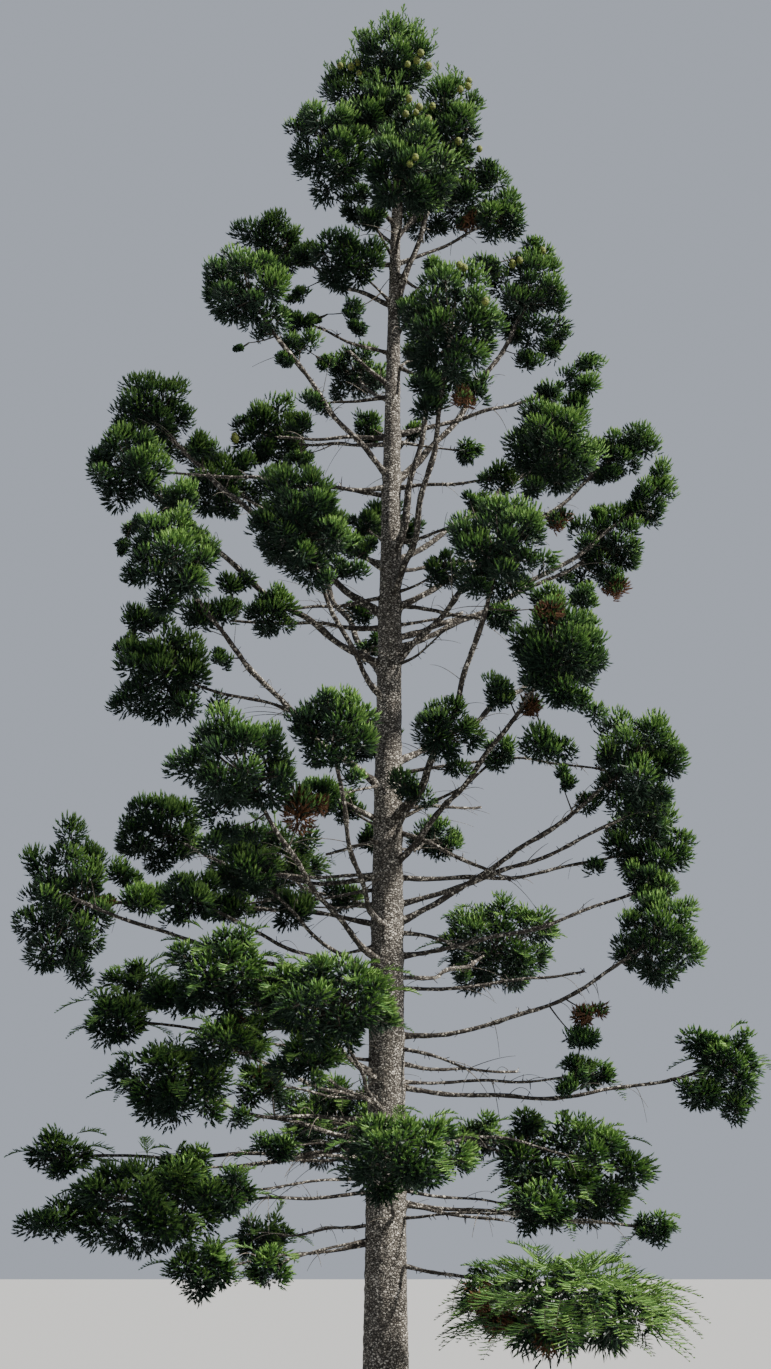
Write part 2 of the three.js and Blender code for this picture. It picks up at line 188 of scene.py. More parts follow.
@dataclass(frozen=True)
class Mass:
    """One mass of foliage and its limb.

    Attributes:
        name: Its name, whose first word is its part of the crown.
        root: The height at which the limb leaves the trunk's middle.
        bearing: The mass's direction in degrees, anticlockwise from +X.
        reach: How far out its middle lies, seen from above.
        height: The height of its middle.
        radius: The half width of its space.
        half: The half height of its space.
        sag: How far the limb's bend hangs below a straight line.
        bough: Whether the limb is a solid of its own.
        habit: How it grows.
        girth: How many times as thick as usual the limb is.
    """

    name: str
    root: float
    bearing: float
    reach: float
    height: float
    radius: float
    half: float
    sag: float = 0.0
    bough: bool = False
    habit: Habit = TUFT
    girth: float = 1.0

    @property
    def middle(self) -> Array:
        """The middle of the mass's space."""
        angle = math.radians(self.bearing)
        return np.array([self.reach * math.cos(angle), self.reach * math.sin(angle), self.height])

    @property
    def size(self) -> Array:
        """The half axes of the mass's space."""
        return np.array([self.radius, self.radius, self.half])

    @property
    def group(self) -> str:
        """Its part of the crown."""
        return self.name.split("_")[0]

    @property
    def surface(self) -> float:
        """The rough surface of the space: four pi times the radius times the half height."""
        return 4.0 * math.pi * self.radius * self.half


MASSES = (
    Mass("top_1", 22.35, 0, 0.15, 23.08, 0.88, 0.92, 0.00, habit=CROWN),
    Mass("top_2", 21.10, 124, 0.75, 22.80, 0.80, 0.90, 0.12, habit=CROWN),
    Mass("top_3", 20.50, -9, 1.15, 21.85, 0.64, 0.98, 0.15, habit=CROWN),
    Mass("top_4", 19.90, -142, 1.10, 20.95, 0.84, 1.02, 0.15),
    Mass("top_5", 19.30, -77, 1.45, 20.20, 0.88, 1.00, 0.18),
    Mass("top_6", 19.70, 52, 1.55, 21.30, 0.90, 1.02, 0.18),
    Mass("top_7", 19.15, 9, 2.05, 20.25, 0.56, 0.64, 0.15),
    Mass("top_8", 18.40, -139, 0.85, 18.95, 0.70, 0.68, 0.08),
    Mass("left_1", 18.35, 153, 2.20, 20.05, 0.80, 0.66, 0.18),
    Mass("left_2", 15.20, -144, 2.80, 17.85, 0.88, 0.84, 0.30, bough=True),
    Mass("left_3", 15.85, 138, 2.75, 16.75, 0.74, 0.84, 0.20),
    Mass("left_4", 12.75, 163, 4.30, 16.85, 0.84, 0.86, 0.40, bough=True),
    Mass("left_5", 13.65, 152, 3.20, 15.75, 0.76, 0.90, 0.30),
    Mass("left_6", 11.90, -164, 4.30, 14.95, 0.76, 0.80, 0.60, bough=True),
    Mass("left_7", 11.30, -125, 2.35, 13.75, 0.84, 1.15, 0.70, bough=True),
    Mass("left_8", 9.90, -146, 4.00, 13.05, 0.88, 0.95, 0.85, bough=True),
    Mass("left_9", 11.00, -174, 3.60, 11.75, 0.92, 1.12, 0.30),
    Mass("left_10", 7.70, -104, 3.30, 10.10, 0.80, 0.74, 1.50),
    Mass("left_11", 7.05, -125, 3.70, 9.60, 1.08, 0.96, 0.65, bough=True),
    Mass("left_12", 8.50, 157, 4.15, 9.60, 0.86, 0.86, 0.80),
    Mass("left_13", 7.70, 179, 5.05, 8.05, 0.82, 1.45, -0.35),
    Mass("right_1", 15.10, 20, 2.70, 18.95, 0.80, 1.15, 0.75),
    Mass("right_2", 13.10, -66, 2.60, 16.90, 0.96, 1.13, 1.50, bough=True),
    Mass("right_3", 11.95, -24, 3.00, 15.30, 0.86, 0.92, 0.70, bough=True),
    Mass("right_4", 12.40, 20, 4.05, 14.50, 0.78, 0.88, 0.35),
    Mass("right_5", 9.30, -58, 3.30, 13.00, 0.90, 0.96, 1.40, bough=True),
    Mass("right_6", 8.55, -40, 3.45, 11.55, 0.82, 1.02, 0.30, bough=True),
    Mass("right_7", 8.90, -60, 1.85, 10.45, 0.62, 0.66, 0.15),
    Mass("right_8", 7.65, -9, 4.00, 10.20, 0.84, 0.92, 0.30, bough=True),
    Mass("right_9", 8.50, 12, 4.35, 9.15, 0.88, 0.84, 0.45),
    Mass("right_10", 6.00, -3, 4.25, 7.50, 0.84, 0.90, 0.90, bough=True),
    Mass("lower_1", 4.70, -103, 3.20, 6.10, 1.08, 0.80, 0.30, habit=FAN),
    Mass("lower_2", 5.35, -143, 3.00, 6.70, 0.95, 0.85, 0.30, habit=FAN),
    Mass("lower_3", 4.40, -159, 3.40, 5.15, 1.10, 0.72, 0.25, habit=FAN),
    Mass("lower_4", 5.25, 2, 5.35, 5.60, 0.68, 0.64, 0.70, bough=True, habit=FAN),
    Mass("lower_5", 3.05, -86, 3.20, 4.00, 1.10, 0.74, 0.25, habit=FAN),
    Mass("lower_6", 3.65, -167, 3.60, 3.45, 1.40, 0.80, 0.10, habit=FAN),
    Mass("lower_7", 4.65, 12, 3.00, 4.00, 1.30, 1.00, -0.05, habit=FAN),
    Mass("lower_8", 2.60, -35, 3.10, 1.95, 1.60, 0.75, -0.10, habit=WEEPING),
    Mass("back_1", 16.60, 104, 2.25, 18.10, 0.66, 0.64, 0.25),
    Mass("back_2", 11.60, 117, 3.35, 15.40, 0.92, 1.00, 0.35),
    Mass("back_3", 13.70, 42, 4.00, 16.80, 0.88, 0.92, 0.30),
    Mass("back_4", 10.30, 47, 4.70, 13.20, 0.92, 0.98, 0.35),
    Mass("back_5", 8.00, 118, 4.40, 9.40, 1.15, 0.95, 0.35, habit=FAN),
    Mass("back_6", 6.90, 64, 4.60, 8.00, 1.15, 0.95, 0.40, habit=FAN),
    Mass("back_7", 4.70, 100, 4.30, 5.00, 1.35, 0.85, 0.30, habit=FAN),
)

# Small masses on limbs of their own, most of them close to the trunk
SIDE_MASSES = (
    Mass("top_side_1", 19.20, -123, 0.42, 19.85, 0.34, 0.32),
    Mass("top_side_2", 19.50, 150, 0.62, 20.30, 0.28, 0.26),
    Mass("top_side_3", 17.70, -12, 0.50, 18.25, 0.36, 0.36),
    Mass("top_side_4", 18.20, -20, 0.90, 18.90, 0.30, 0.28, 0.05),
    Mass("top_side_5", 21.30, -95, 0.40, 22.05, 0.50, 0.46, habit=CROWN),
    Mass("top_side_6", 20.60, -52, 0.62, 21.45, 0.52, 0.50),
    Mass("top_side_7", 20.30, -120, 0.55, 21.75, 0.42, 0.42),
    Mass("top_side_8", 19.60, 5, 0.95, 20.75, 0.52, 0.46),
    Mass("left_side_1", 17.45, -161, 1.55, 17.85, 0.36, 0.32, 0.02, girth=1.3),
    Mass("left_side_2", 15.90, 117, 0.60, 16.35, 0.32, 0.46),
    Mass("left_side_3", 14.00, 115, 0.80, 14.60, 0.40, 0.36),
    Mass("left_side_4", 13.55, -150, 0.66, 13.92, 0.36, 0.30, 0.05),
    Mass("left_side_5", 13.15, -162, 1.95, 12.70, 0.52, 0.58, 0.05, girth=1.3),
    Mass("left_side_6", 12.80, 117, 0.90, 13.15, 0.32, 0.32),
    Mass("left_side_7", 12.30, 110, 0.80, 12.50, 0.26, 0.38, habit=HANGING),
    Mass("left_side_8", 10.00, -138, 1.35, 9.60, 0.46, 0.46, 0.05),
    Mass("left_side_9", 9.20, 129, 1.05, 9.80, 0.40, 0.36),
    Mass("left_side_10", 8.90, 106, 0.95, 9.30, 0.28, 0.34),
    Mass("left_side_11", 8.10, -160, 1.50, 7.90, 0.46, 0.42, 0.05),
    Mass("left_side_12", 8.30, -168, 2.50, 7.95, 0.46, 0.38, 0.05),
    Mass("left_side_13", 7.90, 137, 0.95, 8.30, 0.38, 0.34),
    Mass("right_side_1", 13.60, -50, 1.15, 16.55, 0.42, 0.38, 0.50, girth=1.4),
    Mass("right_side_2", 15.60, 34, 0.60, 16.20, 0.28, 0.24),
    Mass("right_side_3", 15.90, 9, 1.42, 15.78, 0.32, 0.38, habit=HANGING, girth=1.3),
    Mass("right_side_4", 13.90, 60, 0.80, 14.55, 0.34, 0.32),
    Mass("right_side_5", 13.20, -34, 1.10, 13.40, 0.44, 0.38, 0.08, girth=1.2),
    Mass("right_side_6", 15.05, -15, 1.95, 15.05, 0.42, 0.36, 0.05, girth=1.5),
    Mass("right_side_7", 14.05, -30, 2.00, 14.20, 0.42, 0.38, 0.05, girth=1.4),
    Mass("right_side_8", 13.05, -17, 1.95, 12.60, 0.40, 0.32, 0.12, habit=HANGING, girth=1.4),
    Mass("right_side_9", 9.40, -25, 2.00, 10.30, 0.38, 0.38, 0.35),
    Mass("right_side_10", 16.00, 6, 2.80, 16.90, 0.34, 0.30, 0.10, girth=1.4),
    Mass("right_side_11", 8.00, 1, 4.20, 9.65, 0.52, 0.42, 0.30),
    Mass("right_side_12", 7.20, 5, 4.25, 8.40, 0.56, 0.42, 0.30),
    Mass("right_side_13", 12.90, 16, 4.12, 16.05, 0.54, 0.64, 0.45, girth=0.9),
    Mass("right_side_14", 12.20, 15, 4.62, 15.22, 0.48, 0.56, 0.50, girth=0.9),
    Mass("lower_side_1", 6.20, -163, 4.20, 6.10, 0.64, 0.55, 0.30, habit=FAN),
    Mass("lower_side_2", 5.60, -155, 2.30, 5.85, 0.52, 0.42, 0.05, habit=FAN),
    Mass("lower_side_3", 5.00, -162, 1.95, 5.20, 0.52, 0.42, 0.05, habit=FAN),
    Mass("lower_side_4", 4.20, -163, 3.10, 3.95, 0.54, 0.38, 0.05, habit=FAN),
    Mass("lower_side_5", 4.30, -174, 4.90, 4.15, 0.60, 0.48, 0.15, habit=FAN),
    Mass("lower_side_6", 4.40, -148, 1.90, 4.25, 0.44, 0.32, habit=FAN),
    Mass("lower_side_7", 2.90, -163, 2.75, 2.50, 0.66, 0.48, habit=FAN),
    Mass("lower_side_8", 3.70, 4, 2.40, 3.35, 0.56, 0.34, habit=FAN),
    Mass("lower_side_9", 3.50, 2, 4.10, 3.10, 0.44, 0.34, 0.05, habit=FAN),
    Mass("lower_side_10", 5.30, 8, 3.30, 5.45, 0.46, 0.28, 0.15, habit=FAN),
    Mass("lower_side_11", 5.20, -127, 2.50, 6.45, 0.58, 0.52, 0.15, habit=FAN),
    Mass("lower_side_12", 4.90, -112, 3.00, 5.35, 0.60, 0.44, 0.20, habit=FAN),
    Mass("lower_side_13", 4.95, -138, 3.20, 5.65, 0.58, 0.46, 0.20, habit=FAN),
    Mass("lower_side_14", 3.90, -152, 2.70, 3.60, 0.62, 0.44, 0.05, habit=FAN),
    Mass("lower_side_15", 3.25, -28, 2.60, 3.35, 0.62, 0.40, 0.05, habit=FAN),
    Mass("left_side_14", 6.90, -148, 3.40, 7.85, 0.62, 0.50, 0.30),
    Mass("left_side_15", 6.70, -143, 2.55, 8.30, 0.60, 0.50, 0.20),
    Mass("lower_side_16", 6.60, 175, 3.95, 6.75, 0.60, 0.56, 0.30, habit=FAN),
    Mass("lower_side_17", 3.00, -150, 2.00, 2.55, 0.50, 0.38, habit=FAN),
    Mass("back_side_1", 17.20, 60, 1.20, 17.90, 0.45, 0.42),
    Mass("back_side_2", 14.60, 92, 1.90, 15.20, 0.52, 0.50, 0.05),
    Mass("back_side_3", 13.60, 48, 2.90, 14.60, 0.56, 0.50, 0.05),
    Mass("back_side_4", 10.80, 96, 2.60, 11.40, 0.62, 0.54, 0.10),
    Mass("back_side_5", 8.90, 70, 2.60, 9.60, 0.60, 0.50, 0.10),
    Mass("back_side_6", 6.60, 128, 2.80, 6.90, 0.62, 0.48, 0.10, habit=FAN),
    Mass("back_side_7", 4.30, 62, 3.20, 4.60, 0.66, 0.46, 0.10, habit=FAN),
    Mass("back_side_8", 3.20, 128, 3.20, 3.00, 0.66, 0.42, 0.05, habit=FAN),
)


def bare(group: str, root: float, bearing: float, reach: float, height: float, sag: float,
         girth: float = 1.0) -> Mass:
    """A limb without foliage: a mass of no size, whose reach and height are those of the limb's end."""
    return Mass(group, root, bearing, reach, height, 0.0, 0.0, sag, girth=girth)


BARE_LIMBS = (
    bare("top", 18.35, -25, 0.80, 20.00, 0.15, 1.7),
    bare("top", 19.15, -165, 0.90, 18.95, 0.0, 1.6),
    bare("top", 19.00, -30, 0.62, 18.55, 0.0, 1.4),
    bare("left", 15.05, -157, 1.60, 14.85, 0.03, 1.8),
    bare("left", 16.85, -155, 0.68, 17.40, 0.0, 1.7),
    bare("left", 16.70, 170, 1.20, 16.65, 0.0, 1.6),
    bare("left", 15.95, -175, 1.80, 15.90, 0.02, 1.6),
    bare("left", 14.90, -178, 3.90, 15.30, -0.10),
    bare("left", 12.60, 172, 2.60, 12.85, 0.0, 1.4),
    bare("left", 9.35, -150, 0.90, 9.65, 0.0, 2.0),
    bare("left", 9.10, -140, 1.20, 8.70, 0.0, 1.5),
    bare("left", 6.70, -164, 4.90, 7.90, 0.30),
    bare("left", 8.50, -170, 2.30, 8.45, 0.0, 1.3),
    bare("left", 7.45, -150, 1.20, 7.05, 0.0, 1.3),
    bare("right", 17.30, -20, 0.55, 17.00, 0.0, 1.5),
    bare("right", 12.65, 10, 1.30, 12.95, 0.05, 1.3),
    bare("right", 11.95, -35, 1.20, 12.40, 0.20),
    bare("right", 10.10, -5, 3.50, 10.15, -0.45),
    bare("right", 7.60, -15, 1.50, 7.20, -0.15, 1.4),
    bare("right", 6.70, -5, 3.10, 6.95, 0.12, 1.1),
    bare("right", 9.25, -12, 2.00, 8.35, -0.10, 1.2),
    bare("lower", 4.15, -151, 2.50, 3.95, -0.10, 1.2),
    bare("lower", 4.75, -158, 1.80, 4.70, 0.0, 1.8),
    bare("lower", 5.85, -20, 1.30, 5.45, -0.05, 1.4),
    bare("lower", 4.50, -4, 3.00, 4.10, -0.28),
    bare("lower", 3.45, -8, 1.80, 3.20, 0.0, 1.4),
    bare("back", 15.60, 80, 1.80, 15.90, 0.05, 1.3),
    bare("back", 11.20, 140, 2.20, 11.50, 0.05, 1.3),
    bare("back", 9.70, 48, 2.40, 10.00, 0.10, 1.3),
    bare("back", 7.20, 96, 2.60, 7.30, 0.10, 1.3),
    bare("back", 5.60, 40, 2.80, 5.60, 0.10, 1.3),
)


@dataclass(frozen=True)
class SideTuft:
    """A tuft on a twig of its own: the place of its middle, its radius and whether its needles are dead."""

    x: float
    y: float
    z: float
    radius: float
    dead: bool = False


# Marks a side tuft whose needles are dead
DEAD = True

# The side tufts' values by the mass whose limb bears them
SIDE_TUFTS = {
    "top_4": ((-1.45, -0.6, 21.60, 0.32), (-0.50, -0.4, 20.20, 0.26)),
    "top_3": ((1.65, -0.1, 20.85, 0.38), (1.45, 0.1, 20.55, 0.30)),
    "top_7": ((1.45, 0.2, 20.10, 0.24, DEAD),),
    "top_8": ((-0.50, -0.5, 18.05, 0.22), (-0.53, -0.5, 17.75, 0.20), (-1.18, -0.4, 18.00, 0.13)),
    "left_1": ((-1.35, 0.6, 19.60, 0.28), (-1.60, 0.7, 18.95, 0.22)),
    "left_2": ((-1.40, -1.0, 17.20, 0.34), (-1.65, -1.1, 16.90, 0.20), (-2.40, -1.6, 16.90, 0.10),
        (-1.14, -0.7, 16.28, 0.28), (-1.05, -0.8, 17.00, 0.18)),
    "left_3": ((-2.00, 1.2, 15.75, 0.32), (-1.45, 0.6, 15.85, 0.26), (-1.40, 0.3, 16.32, 0.26)),
    "left_4": ((-3.12, 0.8, 16.15, 0.32),),
    "left_6": ((-3.38, -1.1, 14.40, 0.46), (-3.15, -1.0, 13.95, 0.22), (-4.05, -1.2, 14.00, 0.28),
        (-4.20, -1.2, 13.60, 0.14)),
    "left_7": ((-0.60, -1.2, 13.28, 0.30), (-0.28, -1.1, 13.60, 0.22)),
    "left_8": ((-2.75, -1.7, 12.35, 0.36), (-2.45, -1.5, 12.45, 0.24), (-2.55, -1.6, 11.65, 0.22),
        (-2.40, -0.9, 13.10, 0.28)),
    "left_9": ((-3.95, -0.4, 12.75, 0.34), (-4.15, -0.4, 12.25, 0.28)),
    "left_11": ((-1.20, -1.8, 9.25, 0.38, DEAD), (-2.35, -2.9, 8.55, 0.30)),
    "left_13": ((-4.35, 0.0, 8.05, 0.18, DEAD), (-3.70, 0.0, 8.10, 0.40), (-4.10, 0.1, 8.50, 0.30)),
    "right_1": ((2.48, 1.0, 17.88, 0.26), (3.00, 1.0, 18.15, 0.30), (1.78, 0.5, 19.42, 0.30),
        (2.62, 0.9, 19.84, 0.32)),
    "right_2": ((0.70, -1.2, 17.45, 0.28), (1.25, -2.3, 15.65, 0.22, DEAD), (0.62, -1.9, 15.85, 0.34),
        (1.45, -2.2, 15.95, 0.26)),
    "right_3": ((3.10, -1.2, 16.45, 0.34), (3.15, -1.2, 16.05, 0.30), (3.30, -1.2, 16.90, 0.28),
        (2.75, -1.0, 14.20, 0.22, DEAD)),
    "right_side_13": ((3.70, 1.1, 15.75, 0.26), (4.42, 1.1, 16.48, 0.38)),
    "right_side_14": ((4.74, 1.2, 15.70, 0.38),),
    "right_4": ((3.65, 1.0, 15.00, 0.18), (3.90, 1.2, 13.75, 0.26, DEAD)),
    "right_5": ((2.45, -2.6, 12.10, 0.28, DEAD), (1.30, -2.2, 13.97, 0.22)),
    "right_6": ((1.85, -1.6, 11.15, 0.36), (2.50, -2.1, 12.42, 0.28), (3.05, -2.1, 12.46, 0.28),
        (2.30, -1.7, 10.80, 0.28, DEAD), (2.45, -1.8, 10.25, 0.42), (3.05, -2.2, 10.75, 0.36)),
    "right_7": ((0.45, -0.8, 9.80, 0.36),),
    "right_8": ((2.75, -0.6, 9.95, 0.26), (4.55, -0.7, 10.30, 0.34)),
    "right_9": ((4.30, 0.9, 8.55, 0.28, DEAD),),
    "right_10": ((3.00, -0.2, 5.85, 0.30), (2.95, -0.2, 5.50, 0.30), (2.88, -0.2, 5.18, 0.24),
        (3.15, -0.1, 6.35, 0.24, DEAD)),
    "lower_4": ((5.05, 0.1, 6.00, 0.38), (5.50, 0.2, 5.05, 0.36), (5.05, 0.1, 5.00, 0.38)),
    "lower_2": ((-3.20, -1.7, 6.50, 0.40), (-2.25, -1.6, 6.15, 0.20, DEAD)),
    "lower_3": ((-1.75, -0.7, 5.35, 0.24, DEAD),),
    "lower_6": ((-4.95, -0.9, 3.25, 0.48),),
    "lower_7": ((2.30, 0.4, 4.60, 0.34),),
    "lower_8": ((1.25, -2.2, 2.10, 0.32, DEAD), (1.70, -2.3, 1.72, 0.36, DEAD),
        (2.15, -2.4, 1.60, 0.30, DEAD)),
}


@dataclass(frozen=True)
class ConeCluster:
    """Cones on a mass: their direction from its middle in degrees, how many, and how far out in its space."""

    bearer: str
    bearing: float
    elevation: float
    count: int
    share: float = 1.0


CONE_CLUSTERS = (
    ConeCluster("top_1", -60, -25, 4),
    ConeCluster("top_2", -103, 6, 4),
    ConeCluster("top_3", -62, 18, 3),
    ConeCluster("top_3", -75, -45, 1),
    ConeCluster("top_3", -15, -40, 1),
    ConeCluster("top_side_6", -75, 5, 7),
    ConeCluster("top_5", -85, -22, 2),
    ConeCluster("right_2", -60, 62, 3, share=0.82),
    ConeCluster("right_2", -60, 0, 1),
    ConeCluster("right_1", -118, 20, 2, share=0.9),
    ConeCluster("right_1", -60, 50, 1, share=0.82),
    ConeCluster("left_5", -60, 50, 2, share=0.9),
)


def unit(vectors: Array) -> Array:
    """Vectors scaled to length one: each is divided by the root of the sum of its squares."""
    return vectors / np.maximum(np.linalg.norm(vectors, axis=-1, keepdims=True), SHORTEST)


def golden_ways(count: int, turn: float, lowest: float = -1.0) -> Array:
    """Spreads directions evenly over a ball, or over its cap above a level.

    The i-th level falls in even steps from 1 to the lowest. The i-th angle is the turn plus i golden turns.

    Args:
        count: How many directions.
        turn: The first one's angle in radians.
        lowest: The level of the cap's rim, -1 for a whole ball.

    Returns:
        An array of count unit vectors.
    """
    steps = np.arange(count)
    level = 1.0 - (1.0 - lowest) * (steps + 0.5) / count
    ring = np.sqrt(np.maximum(0.0, 1.0 - level * level))
    angle = turn + steps * GOLDEN_TURN
    return np.stack([ring * np.cos(angle), ring * np.sin(angle), level], axis=-1)


def repeatable_draws(seed: int, count: int) -> list[float]:
    """Draws numbers from 0 to 1 as the solids do: each is a state over the modulus.

    Args:
        seed: The first state.
        count: How many numbers.

    Returns:
        The numbers.
    """
    state, draws = seed, []
    for _ in range(count):
        state = (state * DRAW_FACTOR) % DRAW_MODULUS
        draws.append(state / DRAW_MODULUS)
    return draws


def bent_lines(start: Array, bend: Array, end: Array, steps: int) -> Array:
    """Points along lines with one bend: (1-t)(1-t) start + 2t(1-t) bend + t t end, for t in even steps.

    Args:
        start: The first points, k by 3.
        bend: The points that the lines bend towards.
        end: The last points.
        steps: How many steps a line has.

    Returns:
        An array of k by steps + 1 by 3.
    """
    t = np.linspace(0.0, 1.0, steps + 1)[None, :, None]
    a, b, c = (np.asarray(p, float)[:, None, :] for p in (start, bend, end))
    return (1 - t) ** 2 * a + 2 * t * (1 - t) * b + t ** 2 * c


def side_frames(ways: Array) -> tuple[Array, Array]:
    """Two directions square to each given one: the first lies level where it can.

    Args:
        ways: Unit vectors, any shape by 3.

    Returns:
        The level direction, and the one square to both.
    """
    steep = np.abs(ways[..., 2:3]) > STEEP_WAY
    side = unit(np.cross(np.where(steep, ACROSS, UP), ways))
    return side, np.cross(ways, side)


def bar_faces(rings: int, sides: int) -> Array:
    """The triangles of a bar: its wall between rings of corners, and a fan at each end.

    The rings' corners come first, then the foot's middle corner and the tip's.

    Args:
        rings: How many rings the bar has.
        sides: How many corners a ring has.

    Returns:
        The triangles as corner numbers, facing out.
    """
    ring, corner = np.meshgrid(np.arange(rings - 1), np.arange(sides), indexing="ij")
    low = ring * sides + corner
    low_next = ring * sides + (corner + 1) % sides
    high, high_next = low + sides, low_next + sides
    wall = np.concatenate([np.stack([low, low_next, high_next], -1), np.stack([low, high_next, high], -1)])
    loop = np.arange(sides)
    following = (loop + 1) % sides
    last = (rings - 1) * sides
    foot = np.stack([following, loop, np.full(sides, rings * sides)], -1)
    tip = np.stack([last + loop, last + following, np.full(sides, rings * sides + 1)], -1)
    return np.concatenate([wall.reshape(-1, 3), foot, tip])


def copies(corners: Array, faces: Array) -> MeshArrays:
    """Joins copies of one net of triangles: each copy's corner numbers go on from the last one's.

    Args:
        corners: The corners of k copies, k by n by 3.
        faces: The triangles of one copy as corner numbers.

    Returns:
        The corners of all copies, and their triangles.
    """
    shifts = np.arange(len(corners))[:, None, None] * corners.shape[1]
    return corners.reshape(-1, 3), (faces[None] + shifts).reshape(-1, 3)


def tubes(paths: Array, radii: Array, sides: int) -> MeshArrays:
    """Closed round bars along many paths at once.

    A ring's corner is its path's point plus the radius times cos(a) of one side direction and sin(a) of the
    other. Each end closes on a middle corner.

    Args:
        paths: The points of k paths, k by n by 3.
        radii: The radii at the points, k by n, or k by n by sides for a rough surface.
        sides: How many corners a ring has.

    Returns:
        Corners and triangles.
    """
    k, n = paths.shape[:2]
    ways = unit(np.gradient(paths, axis=1))
    along = unit(paths[:, -1] - paths[:, 0])
    steep = np.abs(along[:, 2:3]) > STEEP_PATH
    side = unit(np.cross(np.where(steep, ACROSS, UP)[:, None, :], ways))
    other = np.cross(ways, side)
    angle = np.arange(sides) * 2 * math.pi / sides
    if radii.ndim == 2:
        radii = radii[..., None]
    across = np.cos(angle)[:, None] * side[:, :, None] + np.sin(angle)[:, None] * other[:, :, None]
    rings = paths[:, :, None] + radii[..., None] * across
    corners = np.concatenate([rings.reshape(k, n * sides, 3), paths[:, :1], paths[:, -1:]], axis=1)
    return copies(corners, bar_faces(n, sides))


SPIKE_SIDES = 3
SPIKE_FACES = np.array([[0, 1, 3], [1, 2, 3], [2, 0, 3], [2, 1, 0]])


def spikes(start: Array, end: Array, radius: float) -> MeshArrays:
    """Fine three-sided spikes: a corner of the foot is the start plus the radius round the way to the end.

    Args:
        start: The middles of the feet, k by 3.
        end: The points, k by 3.
        radius: The feet's radius.

    Returns:
        Corners and triangles.
    """
    side, other = side_frames(unit(end - start))
    angle = np.arange(SPIKE_SIDES)[None, :, None] * 2 * math.pi / SPIKE_SIDES
    foot = start[:, None] + radius * (np.cos(angle) * side[:, None] + np.sin(angle) * other[:, None])
    return copies(np.concatenate([foot, end[:, None]], axis=1), SPIKE_FACES)


def trunk_middle(height: Array) -> Array:
    """The trunk's middle at heights: the lean at the tip times the square of the share of the height."""
    height = np.asarray(height, float)
    return np.stack([LEAN_AT_TIP * (height / TRUNK_TIP) ** 2, np.zeros_like(height), height], axis=-1)


def trunk_radius(height: Array) -> Array:
    """The trunk's radius at heights: the ground's times (1 - height / tree height) to the taper power."""
    return TRUNK_RADIUS * (1.0 - np.asarray(height, float) / TREE_HEIGHT) ** TAPER_POWER


class Limb:
    """The line of a mass's limb, from the trunk's middle to the middle of the mass, by length along it."""

    SAMPLES = 240
    END_SAMPLES = 12
    LEAST_BARE_SHARE = 0.15

    # How far before the nearest point a twig leaves, and how near the root one may stand
    TWIG_LAG = 0.2
    FIRST_TWIG = 0.05

    # The sway: its size, its wave length, the chord from which it is full, its start, and its waves by axis
    SWAY = 0.04
    SWAY_LENGTH = 1.5
    FULL_SWAY = 2.5
    SWAY_START = 11.0
    SWAY_RATES = np.array([1.0, 1.3, 0.8])
    SWAY_SHIFTS = np.array([1.0, 0.0, 2.0])
    SWAY_SIZES = np.array([1.0, 1.0, 0.8])

    def __init__(self, mass: Mass) -> None:
        """Samples the bent line and measures it.

        Args:
            mass: The mass that the limb carries.
        """
        self.mass = mass
        root, end = trunk_middle(mass.root), mass.middle
        bend = (root + end) / 2 - mass.sag * UP
        self.points = bent_lines(root[None], bend[None], end[None], self.SAMPLES)[0]
        share = np.linspace(0.0, 1.0, self.SAMPLES + 1)
        chord = float(np.linalg.norm(end - root))
        turn = math.radians(self.SWAY_START * mass.bearing) + share * chord * 2 * math.pi / self.SWAY_LENGTH
        sway = self.SWAY_SIZES * np.sin(self.SWAY_RATES * turn[:, None] + self.SWAY_SHIFTS)
        self.points += self.SWAY * min(1.0, chord / self.FULL_SWAY) * np.sin(math.pi * share)[:, None] * sway
        steps = np.linalg.norm(np.diff(self.points, axis=0), axis=1)
        self.lengths = np.concatenate([[0.0], np.cumsum(steps)])
        self.length = float(self.lengths[-1])

    def at(self, shares: Array) -> Array:
        """The points at shares of the length: the samples' places blended by length."""
        distance = np.asarray(shares, float) * self.length
        return np.stack([np.interp(distance, self.lengths, self.points[:, i]) for i in range(3)], axis=-1)

    def radius(self, shares: Array) -> Array:
        """The radius along the limb.

        At the root it is a base plus a share of the length, times a factor that grows with the steepness. It
        falls evenly to the tip's share.

        Args:
            shares: Places as shares of the length.

        Returns:
            The radii there.
        """
        rise = abs(self.mass.height - self.mass.root) / self.length
        root = LIMB_RADIUS + LIMB_RADIUS_PER_METRE * self.length
        root = root * (LEVEL_LIMB_SHARE + STEEP_LIMB_GAIN * rise)
        return root * self.mass.girth * (1.0 - (1.0 - LIMB_TIP_SHARE) * np.asarray(shares, float))

    def nearest(self, place: Array) -> Array:
        """The point where a twig leaves for a place: the nearest, drawn back a little towards the root."""
        distance = self.lengths[int(np.argmin(np.linalg.norm(self.points - place, axis=1)))]
        return self.at(np.clip(distance - self.TWIG_LAG, self.FIRST_TWIG, self.length) / self.length)

    @property
    def way(self) -> Array:
        """The direction in which the limb reaches the middle of its mass."""
        return unit(self.points[-1] - self.points[-self.END_SAMPLES])

    @property
    def bare_share(self) -> float:
        """The share of the length that lies outside the mass's space."""
        return max(self.LEAST_BARE_SHARE, 1.0 - self.mass.radius / self.length)


